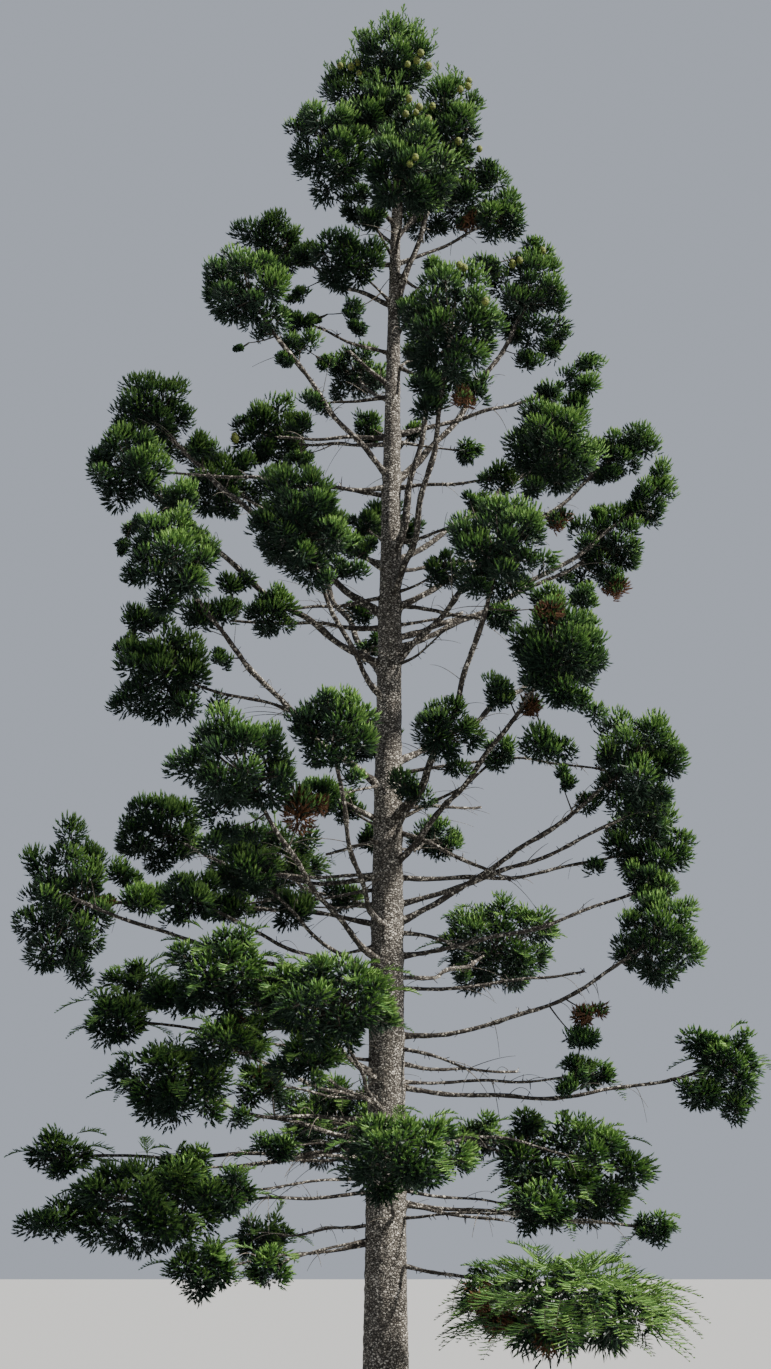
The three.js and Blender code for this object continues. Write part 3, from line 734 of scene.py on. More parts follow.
class Crown:
    """All the masses with their limbs, in the tables' order, and the rule that keeps each to its space."""

    TRACE_STEP = 0.1
    LIMB_MARGIN = 0.012
    CLEAR_RANGE = 0.8
    SIDE_SLACK = 0.25

    def __init__(self) -> None:
        """Works out the limbs, and the traces of the trunk and limbs that foliage keeps off."""
        self.parted = len(MASSES)
        self.leafy = len(MASSES) + len(SIDE_MASSES)
        self.masses = MASSES + SIDE_MASSES + BARE_LIMBS
        self.limbs = [Limb(mass) for mass in self.masses]
        self.middles = np.array([mass.middle for mass in MASSES])
        self.sizes = np.array([mass.size for mass in MASSES])
        trunk_heights = np.arange(0.0, TRUNK_TIP, self.TRACE_STEP)
        flare = FLARE * np.exp(-trunk_heights / FLARE_HEIGHT)
        self.trunk_trace = (trunk_middle(trunk_heights), trunk_radius(trunk_heights) + flare)
        self.traces = [self._trace(limb) for limb in self.limbs]

    def _trace(self, limb: Limb) -> tuple[Array, Array]:
        """Points along a limb with its radius there."""
        shares = np.linspace(0.0, 1.0, math.ceil(limb.length / self.TRACE_STEP) + 1)
        return limb.at(shares), limb.radius(shares)

    def planes(self, index: int) -> tuple[Array, Array]:
        """The planes that part a mass's space from each neighbour's and from the trunk.

        Each crosses the way between two middles where their spaces' reaches towards each other split it.

        Args:
            index: The mass's place in the table.

        Returns:
            The planes' directions away from the mass, and how far along them each lies.
        """
        mass = self.masses[index]
        others = np.arange(self.parted) != index
        gap = self.middles[others] - mass.middle
        distance = np.linalg.norm(gap, axis=1)
        ways = unit(gap)
        own = np.linalg.norm(ways * mass.size, axis=1)
        theirs = np.linalg.norm(ways * self.sizes[others], axis=1)
        touch = mass.middle + ways * (distance * own / (own + theirs))[:, None]
        if mass.root < TRUNK_TIP:
            axis = trunk_middle(mass.height)
            inward = unit((axis - mass.middle) * LEVEL)
            rim = axis - inward * (trunk_radius(mass.height - mass.half) + 2 * SPACE_MARGIN)
            ways, touch = np.vstack([ways, inward]), np.vstack([touch, rim])
        return ways, np.sum(ways * touch, axis=1)

    def inside(self, index: int, points: Array, limit: float = 1.0) -> Array:
        """Whether points lie in a mass's space: in its ellipsoid, and on its side of all its planes.

        A small mass has no planes, but a slack for its ellipsoid.

        Args:
            index: The mass's place in the table.
            points: The points, any shape by 3.
            limit: How many times its size the ellipsoid may reach.

        Returns:
            One truth value for each point.
        """
        mass = self.masses[index]
        out = np.linalg.norm((points - mass.middle) / mass.size, axis=-1)
        if index >= self.parted:
            return out <= limit + self.SIDE_SLACK
        ways, offsets = self.planes(index)
        return (out <= limit) & np.all(points @ ways.T < offsets - SPACE_MARGIN, axis=-1)

    def in_box(self, points: Array) -> Array:
        """Whether points lie in the solids' box with its slack."""
        low, high = (np.array(corner) for corner in CAD_BOX)
        return np.all((points > low - BOX_SLACK) & (points < high + BOX_SLACK), axis=-1)

    def clear(self, index: int, points: Array, thickness: float) -> Array:
        """Whether points lie clear of the trunk and of every other limb near the mass.

        Args:
            index: The mass's place in the table.
            points: The points, n by 3.
            thickness: The half thickness of what stands there.

        Returns:
            One truth value for each point.
        """
        mass = self.masses[index]
        traces = [self.trunk_trace] + [trace for i, trace in enumerate(self.traces) if i != index]
        place = np.concatenate([trace[0] for trace in traces])
        radius = np.concatenate([trace[1] for trace in traces])
        near = np.linalg.norm(place - mass.middle, axis=1) < max(mass.radius, mass.half) + self.CLEAR_RANGE
        gaps = np.linalg.norm(points[:, None] - place[near][None], axis=-1)
        return np.all(gaps > radius[near] + thickness + self.LIMB_MARGIN, axis=1)


@dataclass
class MeshStore:
    """Corners and triangles that are gathered for one piece."""

    corners: list[Array] = field(default_factory=list)
    faces: list[Array] = field(default_factory=list)
    count: int = 0

    def add(self, corners: Array, faces: Array) -> None:
        """Adds a mesh, with its corner numbers moved past those already there.

        Args:
            corners: Its corners, n by 3.
            faces: Its triangles as corner numbers.
        """
        if len(corners):
            self.corners.append(np.asarray(corners, np.float32))
            self.faces.append(np.asarray(faces, np.int64) + self.count)
            self.count += len(corners)

    def piece(self, name: str, material: Material, slot: str, smooth: bool = False,
              replaced: tuple[str, ...] = ()) -> None:
        """Makes the piece, lets it ride on the tree's body and hides the CAD parts that it stands for.

        Args:
            name: Its name.
            material: Its finish.
            slot: Not used.
            smooth: Whether its shading is smooth.
            replaced: The CAD nodes that it stands for.
        """
        corners, faces = np.concatenate(self.corners), np.concatenate(self.faces)
        mesh = bpy.data.meshes.new(name)
        mesh.vertices.add(len(corners))
        mesh.vertices.foreach_set("co", corners.ravel())
        mesh.loops.add(len(faces) * 3)
        mesh.loops.foreach_set("vertex_index", faces.astype(np.int32).ravel())
        mesh.polygons.add(len(faces))
        mesh.polygons.foreach_set("loop_start", np.arange(0, len(faces) * 3, 3, dtype=np.int32))
        mesh.polygons.foreach_set("use_smooth", np.full(len(faces), smooth))
        mesh.update(calc_edges=True)
        mesh.validate()
        mesh.materials.append(material)
        made = bpy.data.objects.new(name, mesh)
        bpy.context.scene.collection.objects.link(made)
        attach(made, BODY)
        if replaced:
            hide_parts(*replaced)
        log.info("%s: %d triangles", name, len(faces))


def grey(level: float) -> Colour:
    """A grey of a level from 0 to 1."""
    return (level, level, level)


class NodeSheet:
    """Short ways to lay out a material's nodes."""

    def __init__(self, name: str) -> None:
        """Makes a material with its shader, output and object coordinates.

        Args:
            name: Its name.
        """
        self.material = bpy.data.materials.new(name)
        self.material.use_nodes = True
        self.tree = self.material.node_tree
        self.shader = self.tree.nodes["Principled BSDF"]
        self.coordinates = self.add("ShaderNodeTexCoord").outputs["Object"]

    def add(self, kind: str, **values: object) -> bpy.types.Node:
        """Adds a node.

        Args:
            kind: The node's type.
            **values: Values for the node where it has one of that name, and otherwise for its input.

        Returns:
            The node.
        """
        node = self.tree.nodes.new(kind)
        for key, value in values.items():
            if hasattr(node, key):
                setattr(node, key, value)
            else:
                node.inputs[key.replace("_", " ")].default_value = value
        return node

    def link(self, source: Socket, target: Socket) -> None:
        """Joins an output to an input."""
        self.tree.links.new(source, target)

    def texture(self, kind: str, vector: Socket, **values: object) -> bpy.types.Node:
        """Adds a texture node at given coordinates.

        Args:
            kind: The node's type.
            vector: The coordinates.
            **values: As in add.

        Returns:
            The node.
        """
        node = self.add(kind, **values)
        self.link(vector, node.inputs["Vector"])
        return node

    def noise(self, scale: float, detail: float) -> Socket:
        """A noise's value at the object coordinates, with so many waves a metre and so much fine detail."""
        return self.texture("ShaderNodeTexNoise", self.coordinates, Scale=scale, Detail=detail).outputs["Fac"]

    def ramp(self, value: Socket, *stops: Stop) -> Socket:
        """A colour from a value, blended between stops.

        Args:
            value: The value.
            *stops: Places from 0 to 1, each with its colour.

        Returns:
            The colour.
        """
        node = self.add("ShaderNodeValToRGB")
        elements = node.color_ramp.elements
        while len(elements) < len(stops):
            elements.new(0.5)
        for element, (place, colour) in zip(elements, stops):
            element.position = place
            element.color = (*colour, 1.0)
        self.link(value, node.inputs["Fac"])
        return node.outputs["Color"]

    def mixed(self, share: Socket | float, a: Socket | tuple[float, ...],
              b: Socket, blend: str = "MIX") -> Socket:
        """Mixes two colours.

        Args:
            share: How much the second colour counts.
            a: The first colour.
            b: The second colour.
            blend: The node's way of blending.

        Returns:
            The mixed colour.
        """
        node = self.add("ShaderNodeMix", data_type="RGBA", blend_type=blend)
        for socket, value in ((node.inputs[0], share), (node.inputs[6], a), (node.inputs[7], b)):
            if isinstance(value, Socket):
                self.link(value, socket)
            else:
                socket.default_value = value
        return node.outputs[2]

    def finished(self, colour: Socket, roughness: float) -> Material:
        """Gives the shader its colour and roughness.

        Args:
            colour: The base colour.
            roughness: The roughness.

        Returns:
            The sheet's material.
        """
        self.link(colour, self.shader.inputs["Base Color"])
        self.shader.inputs["Roughness"].default_value = roughness
        return self.material


@dataclass(frozen=True)
class BarkFinish:
    """Bark in flat flakes with dark cracks between them, and paler weathered patches.

    A flake is squash times wider than high. Its chance number makes it dark to pale_from, pale from pale_to.
    """

    name: str
    crack: Colour
    flake: Colour
    pale: Colour
    flakes_per_metre: float
    squash: float
    bump: float
    pale_from: float = 0.25
    pale_to: float = 0.75
    roughness: float = 0.93
    relief_depth: float = 0.02
    wobble: float = 0.09
    wobble_fineness: float = 0.8
    wobble_detail: float = 2.0
    grain_fineness: float = 5.0
    grain_detail: float = 5.0
    grain_share: float = 0.7
    grain_relief: float = 0.35
    grain_stops: tuple[Stop, Stop] = ((0.3, grey(0.6)), (0.7, grey(1.0)))
    patches_per_metre: float = 1.6
    patch_detail: float = 4.0
    patch_share: float = 0.75
    patch_stops: tuple[Stop, Stop] = ((0.42, grey(0.55)), (0.62, grey(1.0)))
    crack_stops: tuple[Stop, Stop] = ((0.05, grey(0.0)), (0.28, grey(1.0)))

    def material(self) -> Material:
        """Lays out squashed cells whose edges are cracks, under weathered patches and fine grain.

        Returns:
            The material.
        """
        sheet = NodeSheet(self.name)
        mapping = sheet.texture("ShaderNodeMapping", sheet.coordinates)
        mapping.inputs["Scale"].default_value = (1.0, 1.0, self.squash)
        around = mapping.outputs["Vector"]
        wobble = sheet.texture("ShaderNodeTexNoise", around, Detail=self.wobble_detail,
                               Scale=self.flakes_per_metre * self.wobble_fineness)
        shifted = sheet.add("ShaderNodeVectorMath", operation="MULTIPLY_ADD")
        sheet.link(wobble.outputs["Color"], shifted.inputs[0])
        shifted.inputs[1].default_value = grey(self.wobble)
        sheet.link(around, shifted.inputs[2])
        place = shifted.outputs["Vector"]
        cells = sheet.texture("ShaderNodeTexVoronoi", place, feature="DISTANCE_TO_EDGE",
                              Scale=self.flakes_per_metre)
        tint = sheet.texture("ShaderNodeTexVoronoi", place, feature="F1", Scale=self.flakes_per_metre)
        grain = sheet.noise(self.flakes_per_metre * self.grain_fineness, self.grain_detail)
        patches = sheet.noise(self.patches_per_metre, self.patch_detail)
        flakes = sheet.ramp(tint.outputs["Color"], (self.pale_from, self.flake), (self.pale_to, self.pale))
        flakes = sheet.mixed(self.patch_share, flakes, sheet.ramp(patches, *self.patch_stops), "MULTIPLY")
        grained = sheet.ramp(grain, *self.grain_stops)
        flakes = sheet.mixed(self.grain_share, flakes, grained, "MULTIPLY")
        edges = sheet.ramp(cells.outputs["Distance"], *self.crack_stops)
        bump = sheet.add("ShaderNodeBump", Strength=self.bump, Distance=self.relief_depth)
        sheet.link(sheet.mixed(self.grain_relief, edges, grained), bump.inputs["Height"])
        sheet.link(bump.outputs["Normal"], sheet.shader.inputs["Normal"])
        return sheet.finished(sheet.mixed(edges, (*self.crack, 1.0), flakes), self.roughness)


@dataclass(frozen=True)
class PatchyFinish:
    """Colours that blend in soft patches, with some gloss."""

    name: str
    stops: tuple[Stop, ...]
    patches_per_metre: float
    detail: float
    roughness: float
    gloss: float

    def material(self) -> Material:
        """Lays out a noise that picks the colour.

        Returns:
            The material.
        """
        sheet = NodeSheet(self.name)
        share = sheet.noise(self.patches_per_metre, self.detail)
        sheet.shader.inputs["Specular IOR Level"].default_value = self.gloss
        return sheet.finished(sheet.ramp(share, *self.stops), self.roughness)


def needles(tone: Tone, colour: Colour, other: Colour, roughness: float = 0.55,
            gloss: float = 0.22) -> PatchyFinish:
    """Needles of one tone: two near colours in patches about a hand wide, with a slight waxy gloss."""
    return PatchyFinish(f"needles_{tone.value}", ((0.35, colour), (0.65, other)), 7.0, 2.0, roughness, gloss)


TRUNK_BARK = BarkFinish("trunk_bark", (0.018, 0.015, 0.012), (0.27, 0.24, 0.205), (0.86, 0.80, 0.71),
                        flakes_per_metre=21.0, squash=1.5, bump=1.0)
LIMB_BARK = BarkFinish("limb_bark", (0.014, 0.011, 0.009), (0.075, 0.062, 0.05), (0.72, 0.665, 0.58),
                       flakes_per_metre=20.0, squash=1.0, bump=0.8, pale_from=0.38, pale_to=0.78)
DEAD_WOOD = BarkFinish("dead_wood", (0.07, 0.06, 0.05), (0.18, 0.155, 0.125), (0.5, 0.46, 0.39),
                       flakes_per_metre=30.0, squash=1.0, bump=0.4)
TWIG_BARK = BarkFinish("twig_bark", (0.02, 0.016, 0.012), (0.055, 0.046, 0.034), (0.2, 0.17, 0.13),
                       flakes_per_metre=36.0, squash=1.0, bump=0.4)
CONE_SCALES = PatchyFinish(
    "cone_scales", ((0.4, (0.035, 0.038, 0.009)), (0.52, (0.12, 0.15, 0.024)), (0.68, (0.25, 0.30, 0.05))),
    patches_per_metre=45.0, detail=3.0, roughness=0.8, gloss=0.5)
# Lit and shaded copies of one needle green, as painted light from painted shade to painted-sunlit tips; the
# dead are their own brown
NEEDLES = {
    Tone.SHADE: needles(Tone.SHADE, (0.009, 0.021, 0.014), (0.015, 0.035, 0.020)),
    Tone.DEEP: needles(Tone.DEEP, (0.021, 0.057, 0.018), (0.032, 0.082, 0.023)),
    Tone.GREEN: needles(Tone.GREEN, (0.062, 0.148, 0.036), (0.095, 0.196, 0.045)),
    Tone.FRESH: needles(Tone.FRESH, (0.130, 0.252, 0.058), (0.190, 0.330, 0.080)),
    Tone.DEAD: needles(Tone.DEAD, (0.075, 0.036, 0.021), (0.15, 0.078, 0.04), roughness=0.8, gloss=0.2),
}


@dataclass(frozen=True)
class Roughness:
    """Smooth noise over bark: how many waves go round, their height, and its own number."""

    around: int
    height: float
    seed: int

    def at(self, turn: Array, height: Array) -> Array:
        """The noise from 0 to 1: chance values on a lattice that closes round, blended by 3t t - 2t t t.

        Args:
            turn: Places round, as shares of the full turn.
            height: Heights, or distances along a limb, of the same shape.

        Returns:
            An array of that shape.
        """
        u, v = turn * self.around, height / self.height
        lattice = np.random.default_rng(self.seed).random((int(np.max(v)) + 2, self.around))
        column, row = np.floor(u).astype(int), np.floor(v).astype(int)
        s, t = u - column, v - row
        s, t = s * s * (3 - 2 * s), t * t * (3 - 2 * t)
        left, right = column % self.around, (column + 1) % self.around
        low = lattice[row, left] * (1 - s) + lattice[row, right] * s
        high = lattice[row + 1, left] * (1 - s) + lattice[row + 1, right] * s
        return low * (1 - t) + high * t


@dataclass
class Trunk:
    """The trunk from its flat cut to its tip, with flaky bark, hoops and a swelling where each limb leaves.

    Depths and heights are in metres, and a swelling's sizes are shares of its limb's radius.
    """

    sides: int = 100
    rings: int = 540
    flakes: Roughness = Roughness(26, 0.075, 11)
    flake_depth: float = 0.017
    fine_flakes: Roughness = Roughness(62, 0.04, 12)
    fine_depth: float = 0.007
    hoop_spacing: float = 0.11
    hoop_depth: float = 0.010
    hoop_width: float = 0.35
    hoop_drift: Roughness = Roughness(6, 0.6, 13)
    most_drift: float = 2.2
    hoop_breaks: Roughness = Roughness(12, 0.2, 14)
    break_gain: float = 2.2
    break_share: float = 0.7
    least_relief: float = 0.25
    swelling_height: float = 0.55
    swelling_width: float = 1.25
    swelling_drop: float = 0.5
    root_search: float = 0.4
    root_samples: int = 60

    def relief(self, angle: Array, height: Array) -> Array:
        """How far the bark stands out at places round and up the trunk.

        It is flakes, broad and fine, less hoop-like cracks. A crack is where the sine of height over the hoop
        spacing, shifted by slow noise, passes nought. All of it shrinks with the radius.

        Args:
            angle: Angles round the trunk.
            height: Heights of the same shape.

        Returns:
            Distances of the same shape.
        """
        turn = angle / (2 * math.pi)
        broad = self.flakes.at(turn, height) - 0.5
        fine = self.fine_flakes.at(turn, height) - 0.5
        drift = self.hoop_drift.at(turn, height) * self.most_drift
        wave = np.abs(np.sin(math.pi * (height / self.hoop_spacing + drift)))
        broken = self.hoop_breaks.at(turn, height) * self.break_gain - self.break_share
        hoop = np.clip(1.0 - wave / self.hoop_width, 0.0, 1.0) * np.clip(broken, 0.0, 1.0)
        thick = np.clip(trunk_radius(height) / TRUNK_RADIUS, self.least_relief, 1.0)
        return thick * (self.flake_depth * broad + self.fine_depth * fine - self.hoop_depth * hoop)

    def swellings(self, angle: Array, height: Array, limbs: list[Limb]) -> Array:
        """The swellings at the limbs' roots: each a bell of the distance from where the limb leaves the bark.

        Args:
            angle: Angles round the trunk.
            height: Heights of the same shape.
            limbs: The limbs that leave it.

        Returns:
            Distances of the same shape.
        """
        total = np.zeros_like(height)
        for limb in limbs:
            leave = limb.at(np.linspace(0.0, self.root_search, self.root_samples))
            out = np.linalg.norm((leave - trunk_middle(leave[:, 2]))[:, :2], axis=1)
            place = leave[int(np.argmax(out > trunk_radius(leave[:, 2])))]
            bearing = math.atan2(place[1], place[0] - trunk_middle(place[2])[0])
            root = float(limb.radius(0.0))
            across = (np.mod(angle - bearing + math.pi, 2 * math.pi) - math.pi) * trunk_radius(height)
            above = height - place[2] + self.swelling_drop * root
            spread = 2 * (self.swelling_width * root) ** 2
            total += self.swelling_height * root * np.exp(-(across ** 2 + above ** 2) / spread)
        return total

    def build(self, limbs: list[Limb]) -> None:
        """Makes the trunk's piece of rings, closed by a flat foot and a tip.

        A corner lies at its ring's middle plus its radius: taper, flare, bark and swellings together.

        Args:
            limbs: The limbs that leave it.
        """
        level = np.linspace(0.0, 1.0, self.rings) * TRUNK_TIP
        turn = np.arange(self.sides) * 2 * math.pi / self.sides
        height, angle = np.meshgrid(level, turn, indexing="ij")
        wave = 1.0 + FLARE_WAVE * np.cos(FLARE_BUTTRESSES * angle)
        radius = trunk_radius(height) + FLARE * wave * np.exp(-height / FLARE_HEIGHT)
        radius = radius + self.relief(angle, height) + self.swellings(angle, height, limbs)
        around = np.stack([np.cos(angle), np.sin(angle), np.zeros_like(angle)], axis=-1)
        grid = trunk_middle(height) + around * radius[..., None]
        store = MeshStore()
        store.add(*closed_grid(grid, trunk_middle(0.0), trunk_middle(TRUNK_TIP)))
        store.piece("trunk_bark", TRUNK_BARK.material(), "bark", smooth=True, replaced=("trunk",))


def closed_grid(grid: Array, foot: Array, tip: Array) -> MeshArrays:
    """Closes a surface of rings on a foot and a tip.

    Args:
        grid: The rings' corners, rings by sides by 3.
        foot: The middle corner of the first cap.
        tip: That of the last.

    Returns:
        Corners and triangles.
    """
    rings, sides = grid.shape[:2]
    return np.vstack([grid.reshape(-1, 3), foot[None], tip[None]]), bar_faces(rings, sides)


@dataclass
class Limbs:
    """The limbs of one part of the crown: rough bars with stubs, and bare curved twigs along them.

    Lengths and radii are in metres. Each stub or twig draws its own between a pair.
    """

    group: str
    crown: Crown
    sides: int = 10
    step: float = 0.07
    fewest_steps: int = 12
    thinning: float = 0.88
    collar_reach: float = 0.16
    collar: float = 0.45
    bumps_around: int = 5
    bump_length: float = 0.12
    bumps: float = 0.34
    knot_length: float = 0.22
    knot_share: float = 0.6
    knots: float = 0.5
    peg_sides: int = 5
    stubs_per_metre: float = 8.0
    stubs_from: float = 0.03
    stubs_past_bare: float = 0.08
    stub_forward: float = 0.4
    stub_lengths: Pair = (0.02, 0.10)
    stub_radii: Pair = (0.006, 0.012)
    stub_tip: float = 0.45
    twigs_per_metre: float = 2.0
    twigs_from: float = 0.25
    twigs_past_bare: float = 0.05
    twig_lengths: Pair = (0.35, 1.05)
    twig_radii: Pair = (0.0055, 0.0095)
    twig_tip: float = 0.35
    twig_steps: int = 8
    twig_forward: Pair = (0.1, 0.9)
    twig_rise: Pair = (-0.5, 0.4)
    twig_hang: Pair = (-0.42, 0.06)
    twig_bend: float = 0.6
    twig_arch: float = 0.1

    def limb_mesh(self, limb: Limb, seed: int) -> MeshArrays:
        """One limb as a bar: its radius times a collar at the root and a roughness of bumps and knots.

        Args:
            limb: The limb.
            seed: The noise's number.

        Returns:
            Corners and triangles.
        """
        count = max(self.fewest_steps, int(limb.length / self.step))
        share = np.linspace(0.0, 1.0, count)
        turn, distance = np.meshgrid(np.arange(self.sides) / self.sides, share * limb.length, indexing="xy")
        bumps = Roughness(self.bumps_around, self.bump_length, seed).at(turn, distance) - 0.5
        knots = Roughness(1, self.knot_length, seed + 1).at(0.0 * turn, distance) - self.knot_share
        beyond = np.maximum(0.0, share * limb.length - trunk_radius(limb.mass.root))
        collar = 1.0 + self.collar * np.exp(-beyond / self.collar_reach)
        rough = 1.0 + self.bumps * bumps + self.knots * np.clip(knots, 0.0, 1.0)
        radii = self.thinning * (limb.radius(share) * collar)[:, None] * rough
        return tubes(limb.at(share)[None], radii[None], self.sides)

    def stubs(self, limb: Limb, rng: np.random.Generator) -> MeshArrays:
        """Short pegs left by fallen shoots, square to the limb, thicker at the root.

        Args:
            limb: The limb.
            rng: Its chance numbers.

        Returns:
            Corners and triangles.
        """
        count = int(limb.bare_share * limb.length * self.stubs_per_metre)
        first = trunk_radius(limb.mass.root) / limb.length + self.stubs_from
        share = rng.uniform(first, limb.bare_share + self.stubs_past_bare, count)
        start = limb.at(share)
        way = unit(rng.normal(size=(count, 3)) + self.stub_forward * limb.way)
        length = rng.uniform(*self.stub_lengths, count) + limb.radius(share)
        end = start + way * length[:, None]
        paths = bent_lines(start, (start + end) / 2, end, 2)
        radii = np.linspace(1.0, self.stub_tip, 3)[None] * rng.uniform(*self.stub_radii, count)[:, None]
        return tubes(paths, radii, self.peg_sides)

    def bare_twigs(self, limb: Limb, rng: np.random.Generator) -> MeshArrays:
        """Thin dead twigs that arch out from the limb's bare stretch and hang at their ends.

        Args:
            limb: The limb.
            rng: Its chance numbers.

        Returns:
            Corners and triangles.
        """
        count = max(1, int(limb.bare_share * limb.length * self.twigs_per_metre))
        first = min(self.twigs_from, limb.bare_share)
        start = limb.at(rng.uniform(first, limb.bare_share + self.twigs_past_bare, count))
        side, _ = side_frames(np.broadcast_to(limb.way, start.shape))
        hand = rng.choice([-1.0, 1.0], (count, 1))
        forward = limb.way * rng.uniform(*self.twig_forward, (count, 1))
        out = unit(side * hand + forward + UP * rng.uniform(*self.twig_rise, (count, 1)))
        length = rng.uniform(*self.twig_lengths, (count, 1))
        end = start + out * length + UP * rng.uniform(*self.twig_hang, (count, 1)) * length
        bend = start + out * length * self.twig_bend + UP * self.twig_arch * length
        paths = bent_lines(start, bend, end, self.twig_steps)
        taper = np.linspace(1.0, self.twig_tip, self.twig_steps + 1)
        return tubes(paths, taper[None] * rng.uniform(*self.twig_radii, (count, 1)), self.peg_sides)

    def build(self) -> None:
        """Makes the part's pieces: its limbs with their stubs, and their bare twigs."""
        group, crown = self.group, self.crown
        wood, twigs = MeshStore(), MeshStore()
        for index, limb in enumerate(crown.limbs):
            if limb.mass.group == group:
                rng = np.random.default_rng(SEED + index)
                wood.add(*self.limb_mesh(limb, LIMB_SEED + index))
                wood.add(*self.stubs(limb, rng))
                twigs.add(*self.bare_twigs(limb, rng))
        boughs = tuple(f"bough_{m.name}" for m in crown.masses if m.group == group and m.bough)
        wood.piece(f"limbs_{group}", shared_material(LIMB_BARK), "bough", smooth=True, replaced=boughs)
        twigs.piece(f"bare_twigs_{group}", shared_material(DEAD_WOOD), "bough", smooth=True)


@cache
def shared_material(finish: BarkFinish | PatchyFinish) -> Material:
    """The material of a finish, made once and used by every piece that has that finish."""
    return finish.material()


class Rows:
    """The arrays of a dataclass, which all have one row for each thing."""

    def kept(self, keep: Array) -> Self:
        """The rows whose mark is true."""
        return type(self)(*(getattr(self, name)[keep] for name in self.__dataclass_fields__))


@dataclass
class Shoots(Rows):
    """Shoots to be set with needles."""

    start: Array
    way: Array
    length: Array
    width: Array
    bend: Array
    roll: Array
    tone: Array


class NeedleTemplate:
    """Whorls of needles along a shoot of length one, as single pointed faces that lean forward."""

    NEEDLES = 3
    ROOT = 0.30
    ROOT_HALF = 0.72

    def __init__(self, levels: tuple[float, ...], spreads: tuple[float, ...], lean: float) -> None:
        """Lays out the whorls: a needle's root lies at its level, and its point a lean further on.

        Args:
            levels: The whorls' places along the shoot.
            spreads: How far out each whorl's points stand, in half widths.
            lean: How much further along a needle's point lies than its root.
        """
        corners = []
        for i, (level, spread) in enumerate(zip(levels, spreads)):
            for j in range(self.NEEDLES):
                angle = 2 * math.pi * (j + 0.5 * i) / self.NEEDLES
                out = np.array([math.cos(angle), math.sin(angle), 0.0])
                over = np.array([-math.sin(angle), math.cos(angle), 0.0])
                middle = self.ROOT * out + level * UP
                point = spread * out + (level + lean) * UP
                corners += [middle - self.ROOT_HALF * over, middle + self.ROOT_HALF * over, point]
        self.corners = np.array(corners)
        self.faces = np.arange(len(corners)).reshape(-1, 3)

    def set_on(self, shoots: Shoots) -> MeshArrays:
        """Puts the whorls on shoots.

        A corner (x, y, z) lands at start + z length way + z z bend + width (x side + y face).

        Args:
            shoots: The shoots.

        Returns:
            Corners and triangles.
        """
        side, face = side_frames(shoots.way)
        cos, sin = np.cos(shoots.roll)[:, None], np.sin(shoots.roll)[:, None]
        side, face = side * cos + face * sin, face * cos - side * sin
        x, y, z = (self.corners[:, i][None, :, None] for i in range(3))
        width, length = shoots.width[:, None, None], shoots.length[:, None, None]
        placed = shoots.start[:, None] + z * length * shoots.way[:, None] + z * z * shoots.bend[:, None]
        placed = placed + width * (x * side[:, None] + y * face[:, None])
        return copies(placed, self.faces)


SHANK = NeedleTemplate((0.05,), (1.15,), lean=0.62)
TIP = NeedleTemplate((0.48,), (0.95,), lean=0.52)
SPIRE = NeedleTemplate((0.0, 0.17, 0.34, 0.51, 0.66, 0.8), (1.1, 1.1, 1.1, 1.0, 1.0, 0.8), lean=0.2)
INNER = NeedleTemplate((0.0, 0.45), (1.0, 0.8), lean=0.5)


@dataclass
class Tufts:
    """The round tufts of a mass, with one row a tuft, and the two ends of each forked stem."""

    middle: Array
    radius: Array
    root: Array
    aside: Array
    dead: Array
    stems: Array


@dataclass
class Brushes(Rows):
    """The brushes that cover tufts, each a fan of shoots."""

    foot: Array
    axis: Array
    reach: Array
    splay: Array
    root: Array
    facing: Array
    aside: Array
    dead: Array


@dataclass(frozen=True)
class Growth:
    """What a rule of growth works on: the crown, a mass's place in the table and its chance numbers."""

    crown: Crown
    index: int
    rng: np.random.Generator

    @property
    def mass(self) -> Mass:
        """The mass."""
        return self.crown.masses[self.index]

    @property
    def limb(self) -> Limb:
        """Its limb."""
        return self.crown.limbs[self.index]

    @property
    def habit(self) -> BrushHabit:
        """How it grows."""
        return self.mass.habit.value

    def turns(self, shape: int | tuple[int, ...] | None = None) -> Array | float:
        """Chance angles of a shape, or a single one."""
        return self.rng.random(shape) * 2 * math.pi

    def strewn(self, ways: Array, scatter: float) -> Array:
        """Directions turned at random: each axis gains a normal number of the scatter's size."""
        return unit(ways + self.rng.normal(scale=scatter, size=ways.shape))

    def inside(self, points: Array, slack: float = 0.0) -> Array:
        """Whether points lie in the mass's space, as far as its foliage reaches, or a slack further."""
        return self.crown.inside(self.index, points, MASS_REACH[1] + slack)


